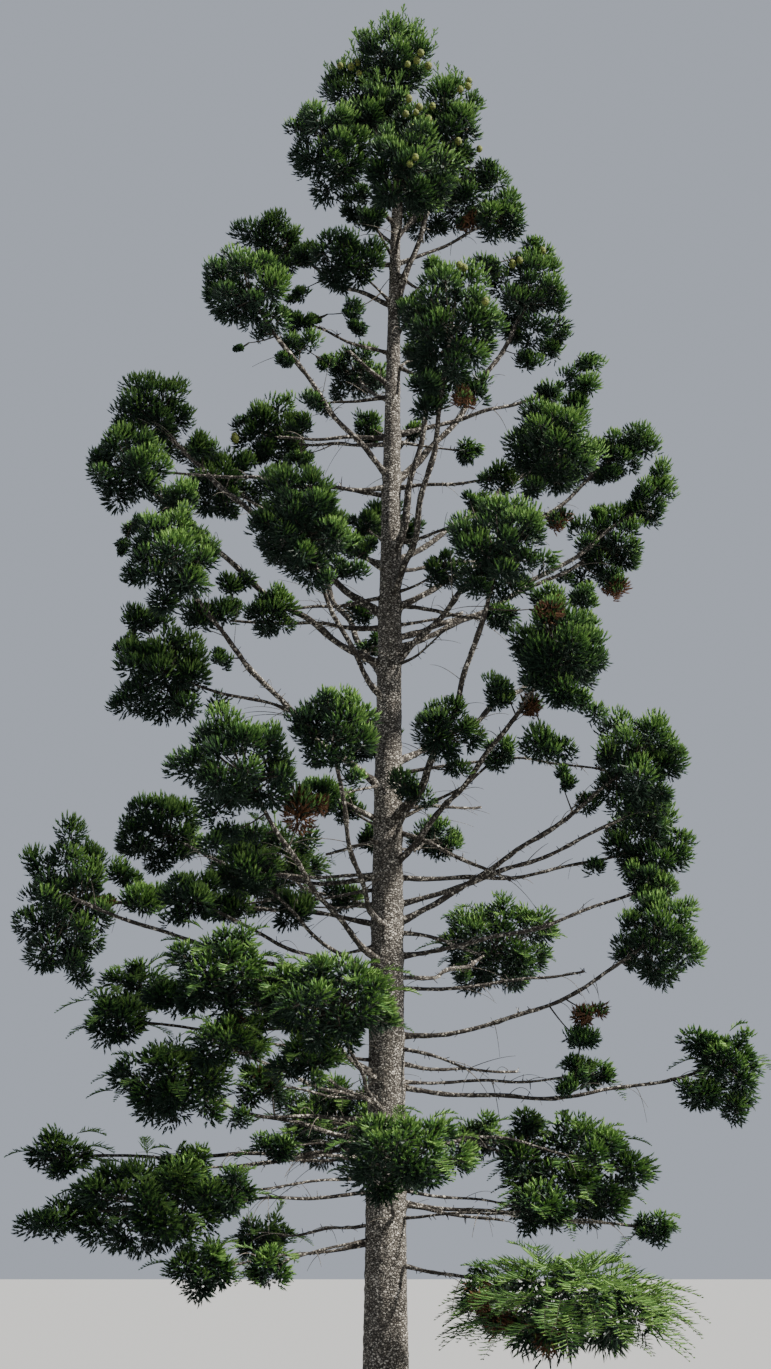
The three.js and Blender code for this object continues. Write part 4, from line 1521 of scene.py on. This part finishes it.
@dataclass(frozen=True)
class TuftGrowth(Growth):
    """The rule that sets the tufts of a mass."""

    # Tufts at the sprays' tips, with the bulges of the whole mass and the usual size in a typical mass
    bulges: int = 4
    bulge_share: float = 0.22
    usual_radius: float = 0.30
    typical_mass: float = 0.95
    most_of_mass: float = 0.85
    tip_sizes: Pair = (0.70, 1.22)
    small_mass_density: float = 12.0

    # Smaller tufts between them, and how far before the limb's end the twigs leave
    between_share: float = 2.3
    between_scatter: float = 0.2
    between_depths: Pair = (0.70, 1.0)
    between_size: float = 0.85
    between_sizes: Pair = (0.8, 1.25)
    root_back: float = 0.12
    root_back_gain: float = 0.38

    # Side tufts, each of some lobes round its middle, on a stem that forks
    lobes: int = 3
    lobe_offset: float = 0.55
    lobe_spread: tuple[float, float, float] = (1.0, 1.0, 0.8)
    lobe_sizes: Pair = (0.5, 0.8)
    fork_share: float = 0.7

    # A stray tuft near the bare end of each long limb
    long_limb: float = 1.8
    stray_back: Pair = (-0.04, 0.07)
    stray_rise: Pair = (-0.9, 0.4)
    stray_forward: float = 0.5
    stray_radius: float = 0.22
    stray_sizes: Pair = (0.7, 1.1)
    stray_distances: Pair = (0.25, 0.42)

    def spray_tips(self) -> Array:
        """The tips of the solid's sprays, each moved a little in or out.

        Returns:
            The tips, k by 3.
        """
        mass, rng = self.mass, self.rng
        turn = repeatable_draws(SEED + self.index, CORE_CORNERS + 1)[-1] * 2 * math.pi
        count = round(FEWEST_SPRAYS + SPRAYS_PER_SQUARE_METRE * mass.surface)
        if self.index >= self.crown.parted:
            count = 1 + round(self.small_mass_density * mass.radius * mass.half)
        ways = golden_ways(count, turn)
        bulge = np.clip(ways @ unit(rng.normal(size=(self.bulges, 3))).T, 0.0, 1.0) ** 2
        lobed = 1.0 + bulge @ rng.uniform(-self.bulge_share, self.bulge_share, self.bulges)
        return self.drawn_in(ways, SPRAY_REACH * lobed * rng.uniform(*MASS_REACH, count))

    def drawn_in(self, ways: Array, share: Array) -> Array:
        """Points in given directions, each at the first try that stays in the mass's space.

        Args:
            ways: Directions from the mass's middle.
            share: How far out each point lies at first, as a share of the space.

        Returns:
            The points that stay in the space.
        """
        mass = self.mass
        tips = mass.middle + ways * mass.size * share[:, None]
        for smaller in SMALLER_TRIES:
            tried = mass.middle + ways * mass.size * (share * smaller)[:, None]
            tips = np.where(self.inside(tips)[:, None], tips, tried)
        return tips[self.inside(tips)]

    def in_space(self) -> Tufts:
        """The tufts in a mass's space: one at each spray's tip, and smaller ones between.

        A tuft's ball touches its tip from inside: its middle lies a radius back from it towards the mass's.

        Returns:
            The tufts.
        """
        mass, limb, rng = self.mass, self.limb, self.rng
        mean = (mass.radius ** 2 * mass.half) ** (1 / 3)
        first = self.spray_tips()
        count = round(self.between_share * len(first))
        ways = self.strewn(golden_ways(count, self.turns()), self.between_scatter)
        second = self.drawn_in(ways, rng.uniform(*self.between_depths, count))
        tips = np.vstack([first, second])
        usual = self.usual_radius * math.sqrt(mean / self.typical_mass)
        radius = np.minimum(self.most_of_mass * mean, np.concatenate([
            usual * rng.uniform(*self.tip_sizes, len(first)),
            usual * self.between_size * rng.uniform(*self.between_sizes, len(second)),
        ]))
        out = unit(tips - mass.middle)
        back = self.root_back + self.root_back_gain * np.clip(-out @ limb.way, 0.0, 1.0)
        root = limb.at(1.0 - back * mass.radius / limb.length)
        none = np.zeros(len(tips), bool)
        return Tufts(tips - out * radius[:, None], radius, root, none, none, np.zeros((0, 2, 3)))

    def on_side_twigs(self) -> Tufts:
        """The side tufts of the table: the lobes of each stand round its middle in chance directions.

        Returns:
            The tufts.
        """
        own = [SideTuft(*row) for row in SIDE_TUFTS.get(self.mass.name, ()) for _ in range(self.lobes)]
        place = np.array([(tuft.x, tuft.y, tuft.z) for tuft in own]).reshape(-1, 3)
        size = np.array([tuft.radius for tuft in own])
        apart = unit(self.rng.normal(size=(len(own), 3))) * self.lobe_spread
        feet = [self.stem_foot(self.limb, place[:i - i % self.lobes], spot) for i, spot in enumerate(place)]
        foot = np.array(feet).reshape(-1, 3)
        fork = foot + self.fork_share * (place - foot)
        stems = np.stack([foot, fork], axis=1)[::self.lobes]
        middle = place + apart * (self.lobe_offset * size)[:, None]
        radius = size * self.rng.uniform(*self.lobe_sizes, len(own))
        dead = np.array([tuft.dead for tuft in own], bool)
        return Tufts(middle, radius, fork, np.ones(len(own), bool), dead, stems)

    def stem_foot(self, limb: Limb, earlier: Array, place: Array) -> Array:
        """Where a side tuft's stem leaves: the limb, or an earlier side tuft if that is nearer."""
        feet = np.vstack([limb.nearest(place)[None], earlier])
        return feet[int(np.argmin(np.linalg.norm(feet - place, axis=1)))]

    def strays(self) -> Tufts:
        """The stray tuft beside a long limb: its middle lies aside and forward of where its twig leaves.

        Returns:
            The tuft, or none.
        """
        limb, rng = self.limb, self.rng
        count = int(self.index < self.crown.parted and limb.length > self.long_limb)
        root = limb.at(limb.bare_share - rng.uniform(*self.stray_back, count))
        side, over = side_frames(np.broadcast_to(limb.way, (count, 3)))
        side = side * rng.choice([-1.0, 1.0], (count, 1))
        over = over * rng.uniform(*self.stray_rise, (count, 1))
        away = unit(side + over + self.stray_forward * limb.way)
        radius = self.stray_radius * rng.uniform(*self.stray_sizes, count)
        middle = root + away * rng.uniform(*self.stray_distances, (count, 1))
        return Tufts(middle, radius, root, np.ones(count, bool), np.zeros(count, bool), np.zeros((0, 2, 3)))

    def grow(self) -> Tufts:
        """All the tufts of a mass.

        Returns:
            The tufts.
        """
        parts = (self.in_space(), self.on_side_twigs(), self.strays())
        names = Tufts.__dataclass_fields__
        return Tufts(*(np.concatenate([getattr(part, name) for part in parts]) for name in names))


@dataclass(frozen=True)
class BrushGrowth(Growth):
    """The rule that covers tufts with brushes."""

    fewest: int = 5
    scatter: float = 0.16
    depths: Pair = (0.8, 1.08)
    ball_stretch: float = 0.30
    aside_stretch: float = 0.35

    # What turns a brush's axis: its own way, the mass's, and the habit's lift, level and by its rise
    own_way: float = 0.85
    outward: float = 0.30
    level_lift: float = 0.55
    rise_lift: float = 0.45
    axis_scatter: float = 0.15

    # Its length, and how far apart its shoots' feet stand
    lengths: Pair = (0.85, 1.15)
    most_of_tuft: float = 0.8
    splay: float = 2.0
    most_splay: float = 0.52

    # Which brushes are left out or dead, and how much the tufts differ in light
    hidden_depth: float = 0.15
    back_way: float = 0.05
    back_within: float = 0.75
    dead_below: float = 0.3
    dead_scatter: float = 0.3
    tuft_shade: float = 0.25

    def grow(self, tufts: Tufts) -> Brushes:
        """The brushes that cover a mass's tufts wherever a tuft's ball isn't inside another.

        A brush's end lies at its tuft's middle plus its direction times the radius. Its axis is that
        direction turned outward and up, and its foot lies a brush's reach back along the axis.

        Args:
            tufts: The tufts.

        Returns:
            The brushes.
        """
        mass, habit, rng = self.mass, self.habit, self.rng
        counts = np.round(habit.per_square_metre * 4 * math.pi * tufts.radius ** 2)
        counts = np.maximum(self.fewest, counts).astype(int)
        owner = np.repeat(np.arange(len(counts)), counts)
        ways = np.vstack([golden_ways(count, self.turns()) for count in counts])
        ways = self.strewn(ways, self.scatter)
        middle, radius, aside = tufts.middle[owner], tufts.radius[owner], tufts.aside[owner]
        along = unit(tufts.middle - tufts.root)[owner]
        stretch = np.where(aside, self.aside_stretch, self.ball_stretch) * np.sum(along * ways, axis=1)
        ends = middle + ways * (radius * rng.uniform(*self.depths, len(owner)))[:, None]
        ends = ends + along * (stretch * radius)[:, None]
        outward = unit(ends - mass.middle)
        lift = habit.lift * (self.level_lift + self.rise_lift * ways[:, 2:3])
        axis = unit(self.own_way * ways + np.where(aside[:, None], 0.0, self.outward) * outward + lift * UP)
        axis = self.strewn(axis, self.axis_scatter)
        reach = np.minimum(habit.reach * rng.uniform(*self.lengths, len(owner)), self.most_of_tuft * radius)
        splay = radius * np.minimum(self.splay / np.sqrt(counts[owner]), self.most_splay)
        depth = tufts.radius[None] - np.linalg.norm(ends[:, None] - tufts.middle[None], axis=-1)
        depth[np.arange(len(owner)), owner] = -1.0
        hidden = np.max(depth, axis=1) > self.hidden_depth * radius
        out = np.linalg.norm((ends - mass.middle) / mass.size, axis=1)
        back = (np.sum(ways * outward, axis=1) < self.back_way) & (out < self.back_within)
        keep = aside | (~hidden & ~back & self.inside(ends))
        low = ways[:, 2] + rng.normal(scale=self.dead_scatter, size=len(owner)) < self.dead_below
        # Painted light: a tuft facing the sunny side gets lighter needles; the chance by tuft is random tone
        facing = ways @ SUNNY_SIDE + rng.normal(scale=self.tuft_shade, size=len(counts))[owner]
        foot = ends - axis * reach[:, None]
        return Brushes(foot, axis, reach, splay, middle, facing, aside, tufts.dead[owner] & low).kept(keep)


@dataclass(frozen=True)
class ShootGrowth(Growth):
    """The rule that fans shoots out of brushes."""

    scatter: float = 0.12
    lengths: Pair = (0.78, 1.06)
    widths: Pair = (0.85, 1.15)
    dome: float = 0.60

    # How far past the space a shoot may end, and where and how widely it keeps clear of limbs
    slack: float = 0.04
    clear_share: float = 0.6
    clear_half: float = 0.02

    # What each thing adds to a shoot's light, from which nought, and how much is chance
    out_light: float = 0.7
    out_nought: float = 0.8
    aside_out: float = 0.85
    mass_light: float = 0.16
    tuft_light: float = 0.42
    rise_light: float = 0.20
    place_light: float = 0.32
    axis_light: float = 0.40
    axis_nought: float = 0.80
    brush_chance: float = 0.13
    shoot_chance: float = 0.055

    # Broad shoots inside a tuft, in the shade tone: painted shade that fills the tuft's inside
    inner_count: int = 6
    inner_foot: float = 0.1
    inner_length: float = 0.30
    inner_share: float = 0.62
    inner_half_width: float = 0.070

    def grow(self, brushes: Brushes) -> Shoots:
        """The shoots of a mass's brushes.

        Each brush fans its shoots evenly over the cap round its axis. Their feet stand apart on a dome, as
        their directions do. A shoot's tone comes from its light: how far out it ends, how far up and to the
        sunny side it, its tuft and its place on the brush point, how near the axis it is, and chance.

        Args:
            brushes: The brushes.

        Returns:
            The shoots that stay in the mass's space and off every limb.
        """
        mass, habit, rng = self.mass, self.habit, self.rng
        number, each = len(brushes.foot), habit.shoots
        fan = golden_ways(each, 0.0, math.cos(math.radians(habit.spread)))
        side, face = side_frames(brushes.axis)
        turn = self.turns((number, 1))
        across = fan[None, :, 0] * np.cos(turn) - fan[None, :, 1] * np.sin(turn)
        over = fan[None, :, 0] * np.sin(turn) + fan[None, :, 1] * np.cos(turn)
        apart = across[..., None] * side[:, None] + over[..., None] * face[:, None]
        ways = apart + fan[None, :, 2:3] * brushes.axis[:, None]
        ways = ways + rng.normal(scale=self.scatter, size=ways.shape)
        ways[..., 2] *= habit.flatten
        ways = unit(ways).reshape(-1, 3)
        apart = apart.reshape(-1, 3) / math.sin(math.radians(habit.spread))
        count, axis = len(ways), np.repeat(brushes.axis, each, axis=0)
        length = np.repeat(brushes.reach, each) * rng.uniform(*self.lengths, count)
        drop = self.dome * np.sum(apart ** 2, axis=1)[:, None] * axis
        splay = np.repeat(brushes.splay, each)[:, None]
        start = np.repeat(brushes.foot, each, axis=0) + (apart - drop) * splay
        bend = (UP - ways * ways[:, 2:3]) * (habit.curl * length)[:, None]
        ends = start + ways * length[:, None] + bend
        aside = np.repeat(brushes.aside, each)
        out = np.where(aside, self.aside_out, np.linalg.norm((ends - mass.middle) / mass.size, axis=1))
        # The tone is painted light: outer, rising, sun-facing shoots near a brush's axis get lighter needles,
        # the others darker
        light = (
            self.out_light * (out - self.out_nought)
            + self.mass_light * (unit(ends - mass.middle) @ SUNNY_SIDE)
            + self.tuft_light * np.repeat(brushes.facing, each)
            + self.rise_light * ways[:, 2]
            + self.place_light * (apart @ SUNNY_SIDE)
            + self.axis_light * (np.sum(ways * axis, axis=1) - self.axis_nought)
            + np.repeat(rng.normal(scale=self.brush_chance, size=number), each)
            + rng.normal(scale=self.shoot_chance, size=count)
            + habit.freshness
        )
        tone = np.where(np.repeat(brushes.dead, each), DEAD_TONE, np.digitize(light, TONE_STEPS))
        width = habit.half_width * rng.uniform(*self.widths, count)
        tested = start + ways * (self.clear_share * length)[:, None]
        clear = self.crown.clear(self.index, tested, self.clear_half)
        within = (aside | self.inside(ends, self.slack)) & self.crown.in_box(ends)
        return Shoots(start, ways, length, width, bend, self.turns(count), tone).kept(clear & within)

    def inner(self, tufts: Tufts) -> Shoots:
        """Broad shoots inside the tufts, from near each tuft's middle to all sides, in painted shade that
        darkens the tufts' insides.

        Args:
            tufts: The tufts.

        Returns:
            The shoots.
        """
        radius = np.repeat(tufts.radius, self.inner_count)
        ways = unit(self.rng.normal(size=(len(radius), 3)))
        start = np.repeat(tufts.middle, self.inner_count, axis=0) + ways * (self.inner_foot * radius)[:, None]
        length = np.minimum(self.inner_length, self.inner_share * radius)
        width = self.inner_half_width * length / self.inner_length
        still, shade = np.zeros((len(radius), 3)), np.zeros(len(radius), int)
        return Shoots(start, ways, length, width, still, self.turns(len(radius)), shade)


@dataclass(frozen=True)
class SpireGrowth(Growth):
    """The rule of the forked upright shoots on a mass: leaders, each with prongs up its length."""

    full_surface: float = 8.0
    lowest: float = 0.05
    depths: Pair = (0.60, 0.86)
    lean: float = 0.45
    scatter: float = 0.14
    heights: Pair = (0.20, 0.34)
    prongs: int = 5
    prong_places: Pair = (0.3, 0.82)
    prong_forward: float = 0.9
    prong_out: float = 0.8
    prong_length: float = 0.62
    prong_fall: float = 0.45
    curl: float = 0.25
    half_width: float = 0.015
    fresh_share: float = 0.3

    def grow(self) -> Shoots:
        """The leaders and prongs of a mass.

        A leader's foot lies on a smaller copy of the mass's ellipsoid. Prong by prong the place on the leader
        rises in even steps, the direction turns round it by the golden turn, and the length falls.

        Returns:
            The leaders and prongs.
        """
        mass, rng = self.mass, self.rng
        count = round(self.habit.spires * min(1.0, mass.surface / self.full_surface))
        ways = golden_ways(count, self.turns(), self.lowest)
        foot = mass.middle + ways * mass.size * rng.uniform(*self.depths, (count, 1))
        leader = self.strewn(UP + self.lean * ways, self.scatter)
        tall = rng.uniform(*self.heights, count)
        share = np.linspace(*self.prong_places, self.prongs)[None, :, None]
        side, face = side_frames(leader)
        turn = self.turns((count, 1)) + np.arange(self.prongs)[None] * GOLDEN_TURN
        across = np.cos(turn)[..., None] * side[:, None] + np.sin(turn)[..., None] * face[:, None]
        prong = unit(leader[:, None] * self.prong_forward + across * self.prong_out).reshape(-1, 3)
        start = (foot[:, None] + leader[:, None] * tall[:, None, None] * share).reshape(-1, 3)
        reach = (tall[:, None] * (self.prong_length - self.prong_fall * share[..., 0])).ravel()
        way, length = np.vstack([leader, prong]), np.concatenate([tall, reach])
        bend = (UP - way * way[:, 2:3]) * self.curl * length[:, None]
        number = len(length)
        tone = GREEN_TONE + (rng.random(number) < self.fresh_share).astype(int)
        width = np.full(number, self.half_width)
        return Shoots(np.vstack([foot, start]), way, length, width, bend, self.turns(number), tone)


@dataclass(frozen=True)
class FrondGrowth(Growth):
    """The rule of the feather-like twigs: spines that reach out, with short shoots in pairs along them."""

    lowest: float = -0.45
    scatter: float = 0.12
    depths: Pair = (0.62, 0.86)
    lengths: Pair = (2.1, 3.4)
    flatness: tuple[float, float, float] = (1.0, 1.0, 0.35)
    way_scatter: float = 0.15
    drop: float = 0.34
    bend: float = 0.5
    pairs: int = 11
    side_angle: float = 52.0
    side_rise: float = 0.12
    side_scatter: float = 0.10
    side_share: float = 0.34
    least_side: float = 0.05
    side_sizes: Pair = (0.8, 1.15)
    curl: float = 0.15
    half_width: float = 0.011
    light: float = 0.40
    facing_light: float = 0.35
    chance: float = 0.16

    def grow(self) -> tuple[Shoots, Array]:
        """The feather-like twigs of a mass.

        A spine starts on a smaller copy of the mass's ellipsoid and bends down over its length. The pairs
        stand at even shares of it, turned from it by the side angle. A side shoot's length is the spine's
        times the side share times (1 - share to the third power), and a least one more.

        Returns:
            The side shoots, and the spines' points.
        """
        mass, rng = self.mass, self.rng
        count = round(self.habit.fronds * mass.surface)
        ways = self.strewn(golden_ways(count, self.turns(), self.lowest), self.scatter)
        foot = mass.middle + ways * mass.size * rng.uniform(*self.depths, (count, 1))
        length = self.habit.reach * rng.uniform(*self.lengths, (count, 1))
        out = self.strewn(ways * self.flatness, self.way_scatter)
        end = foot + (out - self.drop * UP) * length
        spines = bent_lines(foot, foot + out * length * self.bend, end, self.pairs)
        keep = self.crown.in_box(end)
        ways, length, spines = ways[keep], length[keep], spines[keep]
        along = unit(np.gradient(spines, axis=1))
        side, _ = side_frames(along)
        share = np.linspace(0.0, 1.0, self.pairs + 1)[1:]
        fall = self.side_share * (1.0 - share ** 3) + self.least_side
        turn = math.radians(self.side_angle)
        paths, lengths = [], []
        for hand in (-1.0, 1.0):
            lean = along * math.cos(turn) + hand * side * math.sin(turn) + self.side_rise * UP
            paths.append(self.strewn(lean[:, 1:], self.side_scatter).reshape(-1, 3))
            sizes = rng.uniform(*self.side_sizes, (len(ways), self.pairs))
            lengths.append((length * fall[None] * sizes).ravel())
        way, reach = np.vstack(paths), np.concatenate(lengths)
        start = np.tile(spines[:, 1:].reshape(-1, 3), (2, 1))
        number = len(reach)
        bend = (UP - way * way[:, 2:3]) * self.curl * reach[:, None]
        facing = np.tile(np.repeat(ways @ SUNNY_SIDE, self.pairs), 2)
        # The fronds' tone is painted light: lighter where a frond faces the sunny side
        light = self.light + self.facing_light * facing + rng.normal(scale=self.chance, size=number)
        tone = np.maximum(DEEP_TONE, np.digitize(light, TONE_STEPS))
        width = np.full(number, self.half_width)
        return Shoots(start, way, reach, width, bend, self.turns(number), tone), spines


@dataclass
class Foliage:
    """The twigs and needles of the masses in one part of the crown."""

    group: str
    crown: Crown
    bars: MeshStore = field(default_factory=MeshStore)
    needles: dict[Tone, MeshStore] = field(default_factory=lambda: {tone: MeshStore() for tone in Tone})
    twig_radius: float = 0.014
    twig_tip: float = 0.6
    twig_steps: int = 5
    twig_sides: int = 4
    twig_bow: float = 0.2
    twig_sag: float = 0.06
    stem_sag: float = 0.08
    fine_radius: float = 0.006
    fine_reach: float = 0.5
    spine_tip: float = 0.4

    def bar(self, lines: Array, radius: float, tip: float) -> None:
        """Adds bars along lines, whose radius falls evenly to the tip's share."""
        taper = np.linspace(1.0, tip, lines.shape[1])[None] * np.full((len(lines), 1), radius)
        self.bars.add(*tubes(lines, taper, self.twig_sides))

    def twigs(self, tufts: Tufts, brushes: Brushes) -> None:
        """Adds a bent bar to each tuft's middle, one for each stem, and a fine spike to each brush.

        Args:
            tufts: The tufts.
            brushes: The brushes.
        """
        bow = self.twig_bow * ((tufts.middle - tufts.root) * LEVEL)
        bend = (tufts.root + tufts.middle) / 2 + bow - self.twig_sag * UP
        lines = bent_lines(tufts.root, bend, tufts.middle, self.twig_steps)
        foot, fork = tufts.stems[:, 0], tufts.stems[:, 1]
        sag = self.stem_sag * np.linalg.norm(fork - foot, axis=1)[:, None] * UP
        stems = bent_lines(foot, (foot + fork) / 2 - sag, fork, self.twig_steps)
        self.bar(np.concatenate([lines, stems]), self.twig_radius, self.twig_tip)
        ends = brushes.foot + self.fine_reach * brushes.axis * brushes.reach[:, None]
        self.bars.add(*spikes(brushes.root, ends, self.fine_radius))

    def grow(self, index: int) -> None:
        """Grows one mass.

        Args:
            index: The mass's place in the table.
        """
        plot = (self.crown, index, np.random.default_rng(MASS_SEED + index))
        tufts = TuftGrowth(*plot).grow()
        brushes = BrushGrowth(*plot).grow(tufts)
        self.twigs(tufts, brushes)
        shoots = ShootGrowth(*plot).grow(brushes)
        # Painted shade: a shoot's shank takes the tone below its tip's, darker towards its foot
        darker = np.where(shoots.tone == DEAD_TONE, DEAD_TONE, np.maximum(shoots.tone - 1, 0))
        inner = ShootGrowth(*plot).inner(tufts)
        fronds, spines = FrondGrowth(*plot).grow()
        self.bar(spines, self.fine_radius, self.spine_tip)
        spires = SpireGrowth(*plot).grow()
        dressed = (
            (SHANK, shoots, darker),
            (TIP, shoots, shoots.tone),
            (INNER, inner, inner.tone),
            (SHANK, fronds, fronds.tone),
            (TIP, fronds, fronds.tone),
            (SPIRE, spires, spires.tone),
        )
        for whorls, bearers, tones in dressed:
            for number, tone in enumerate(Tone):
                self.needles[tone].add(*whorls.set_on(bearers.kept(tones == number)))

    def build(self) -> None:
        """Grows every mass of the part and makes its pieces: the twigs, and the needles by tone."""
        group = self.group
        for index, mass in enumerate(self.crown.masses[:self.crown.leafy]):
            if mass.group == group:
                self.grow(index)
        nodes = tuple(f"foliage_{m.name}" for m in MASSES if m.group == group)
        self.bars.piece(f"twigs_{group}", shared_material(TWIG_BARK), "bough", smooth=True, replaced=nodes)
        for tone, store in self.needles.items():
            if store.count:
                finish = shared_material(NEEDLES[tone])
                store.piece(f"needles_{tone.value}_{group}", finish, "foliage", replaced=nodes)


@dataclass
class Cones:
    """The ripening cones: knobbly globes that stand in clusters on the upper masses."""

    radius: float = 0.058
    rows: int = 7
    sides: int = 12
    knob: float = 0.22
    tallness: float = 1.15
    spacing: float = 0.14
    depths: Pair = (0.98, 1.05)
    sizes: Pair = (0.85, 1.1)

    def globe(self, middle: Array, radius: float, turn: float) -> MeshArrays:
        """One cone: a ball a little taller than wide, whose corners stand in and out by turns like scales.

        Args:
            middle: The cone's middle.
            radius: Its radius.
            turn: Its turn about the upright in radians.

        Returns:
            Corners and triangles.
        """
        level = (np.arange(self.rows) + 0.5) * math.pi / self.rows
        around = np.arange(self.sides) * 2 * math.pi / self.sides + turn
        polar, angle = np.meshgrid(level, around, indexing="ij")
        row, side = np.indices(polar.shape)
        rough = radius * (1.0 + self.knob * ((row + side) % 2 - 0.5))
        grid = np.stack([
            rough * np.sin(polar) * np.cos(angle),
            rough * np.sin(polar) * np.sin(angle),
            -self.tallness * rough * np.cos(polar),
        ], axis=-1)
        tall = self.tallness * radius * UP
        return closed_grid(middle + grid, middle - tall, middle + tall)

    def build(self, crown: Crown) -> None:
        """Places every cluster's cones on their mass and makes the piece.

        A cone's middle lies in the cluster's direction from its mass's middle, near the ellipsoid's surface.
        The n-th is moved aside by the spacing times the root of n, n golden turns round.

        Args:
            crown: The masses and limbs.
        """
        store = MeshStore()
        masses = {mass.name: mass for mass in crown.masses}
        rng = np.random.default_rng(SEED)
        for cluster in CONE_CLUSTERS:
            mass = masses[cluster.bearer]
            bearing, elevation = math.radians(cluster.bearing), math.radians(cluster.elevation)
            level = math.cos(elevation)
            way = np.array([level * math.cos(bearing), level * math.sin(bearing), math.sin(elevation)])
            side, face = side_frames(way)
            for number in range(cluster.count):
                angle, aside = number * GOLDEN_TURN + bearing, self.spacing * math.sqrt(number)
                middle = mass.middle + way * mass.size * cluster.share * rng.uniform(*self.depths)
                middle = middle + aside * (math.cos(angle) * side + math.sin(angle) * face)
                radius = self.radius * rng.uniform(*self.sizes)
                store.add(*self.globe(middle, radius, rng.random() * math.pi))
        store.piece("cones", shared_material(CONE_SCALES), "foliage", smooth=True)


class Studio:
    """The plain floor, soft light and camera."""

    FLOOR_HALF = 500.0
    FLOOR_COLOUR = (0.33, 0.335, 0.34, 1.0)
    FLOOR_ROUGHNESS = 0.9
    SKY_COLOUR = (0.80, 0.87, 1.0, 1.0)
    SKY_STRENGTH = 0.50
    SUN_COLOUR = (1.0, 0.95, 0.86)
    SUN_STRENGTH = 11.0
    SUN_WIDTH = math.radians(5.0)
    SUN_FROM_UPRIGHT = math.radians(47.0)
    SUN_BEARING = math.radians(74.0)
    FARTHEST = 2000.0
    CAMERA_PLACE = (0.0, -33.0, 2.5)
    CAMERA_PITCH = math.radians(15.5)
    LONG_SIDE_FIELD = math.radians(36.0)
    LONG_SIDE_SENSOR = 36.0

    def build(self) -> None:
        """Makes the floor, the lights and the camera."""
        self.floor()
        self.lights()
        self.camera()

    def floor(self) -> None:
        """A wide plain floor at ground level."""
        half = self.FLOOR_HALF
        corners = [(-half, -half, 0.0), (half, -half, 0.0), (half, half, 0.0), (-half, half, 0.0)]
        mesh = bpy.data.meshes.new("floor")
        mesh.from_pydata(corners, [], [(0, 1, 2, 3)])
        sheet = NodeSheet("floor")
        sheet.shader.inputs["Base Color"].default_value = self.FLOOR_COLOUR
        sheet.shader.inputs["Roughness"].default_value = self.FLOOR_ROUGHNESS
        mesh.materials.append(sheet.material)
        made = bpy.data.objects.new("floor", mesh)
        bpy.context.scene.collection.objects.link(made)

    def lights(self) -> None:
        """An even pale surround, and one soft lamp like a high sun from the upper right."""
        world = bpy.data.worlds.new("studio")
        world.use_nodes = True
        background = world.node_tree.nodes["Background"]
        background.inputs["Color"].default_value = self.SKY_COLOUR
        background.inputs["Strength"].default_value = self.SKY_STRENGTH
        bpy.context.scene.world = world
        lamp = bpy.data.lights.new("key", "SUN")
        lamp.energy = self.SUN_STRENGTH
        lamp.angle = self.SUN_WIDTH
        lamp.color = self.SUN_COLOUR
        key = bpy.data.objects.new("key", lamp)
        key.rotation_euler = (self.SUN_FROM_UPRIGHT, 0.0, self.SUN_BEARING)
        bpy.context.scene.collection.objects.link(key)

    def camera(self) -> None:
        """The photograph's camera: low in front of the tree, looking up."""
        data = bpy.data.cameras.new("camera")
        data.sensor_fit = "AUTO"
        data.sensor_width = self.LONG_SIDE_SENSOR
        data.lens = self.LONG_SIDE_SENSOR / 2 / math.tan(self.LONG_SIDE_FIELD / 2)
        data.clip_end = self.FARTHEST
        made = bpy.data.objects.new("camera", data)
        made.location = self.CAMERA_PLACE
        made.rotation_euler = (math.pi / 2 + self.CAMERA_PITCH, 0.0, 0.0)
        bpy.context.scene.collection.objects.link(made)
        bpy.context.scene.camera = made


def main() -> None:
    """Builds the tree from the trunk out, then the studio."""
    logging.basicConfig(level=logging.INFO, format="%(name)s: %(message)s", stream=sys.stdout)
    crown = Crown()
    Trunk().build(crown.limbs)
    for group in dict.fromkeys(mass.group for mass in MASSES):
        Limbs(group, crown).build()
        Foliage(group, crown).build()
    Cones().build(crown)
    Studio().build()


if __name__ == "__main__":
    main()
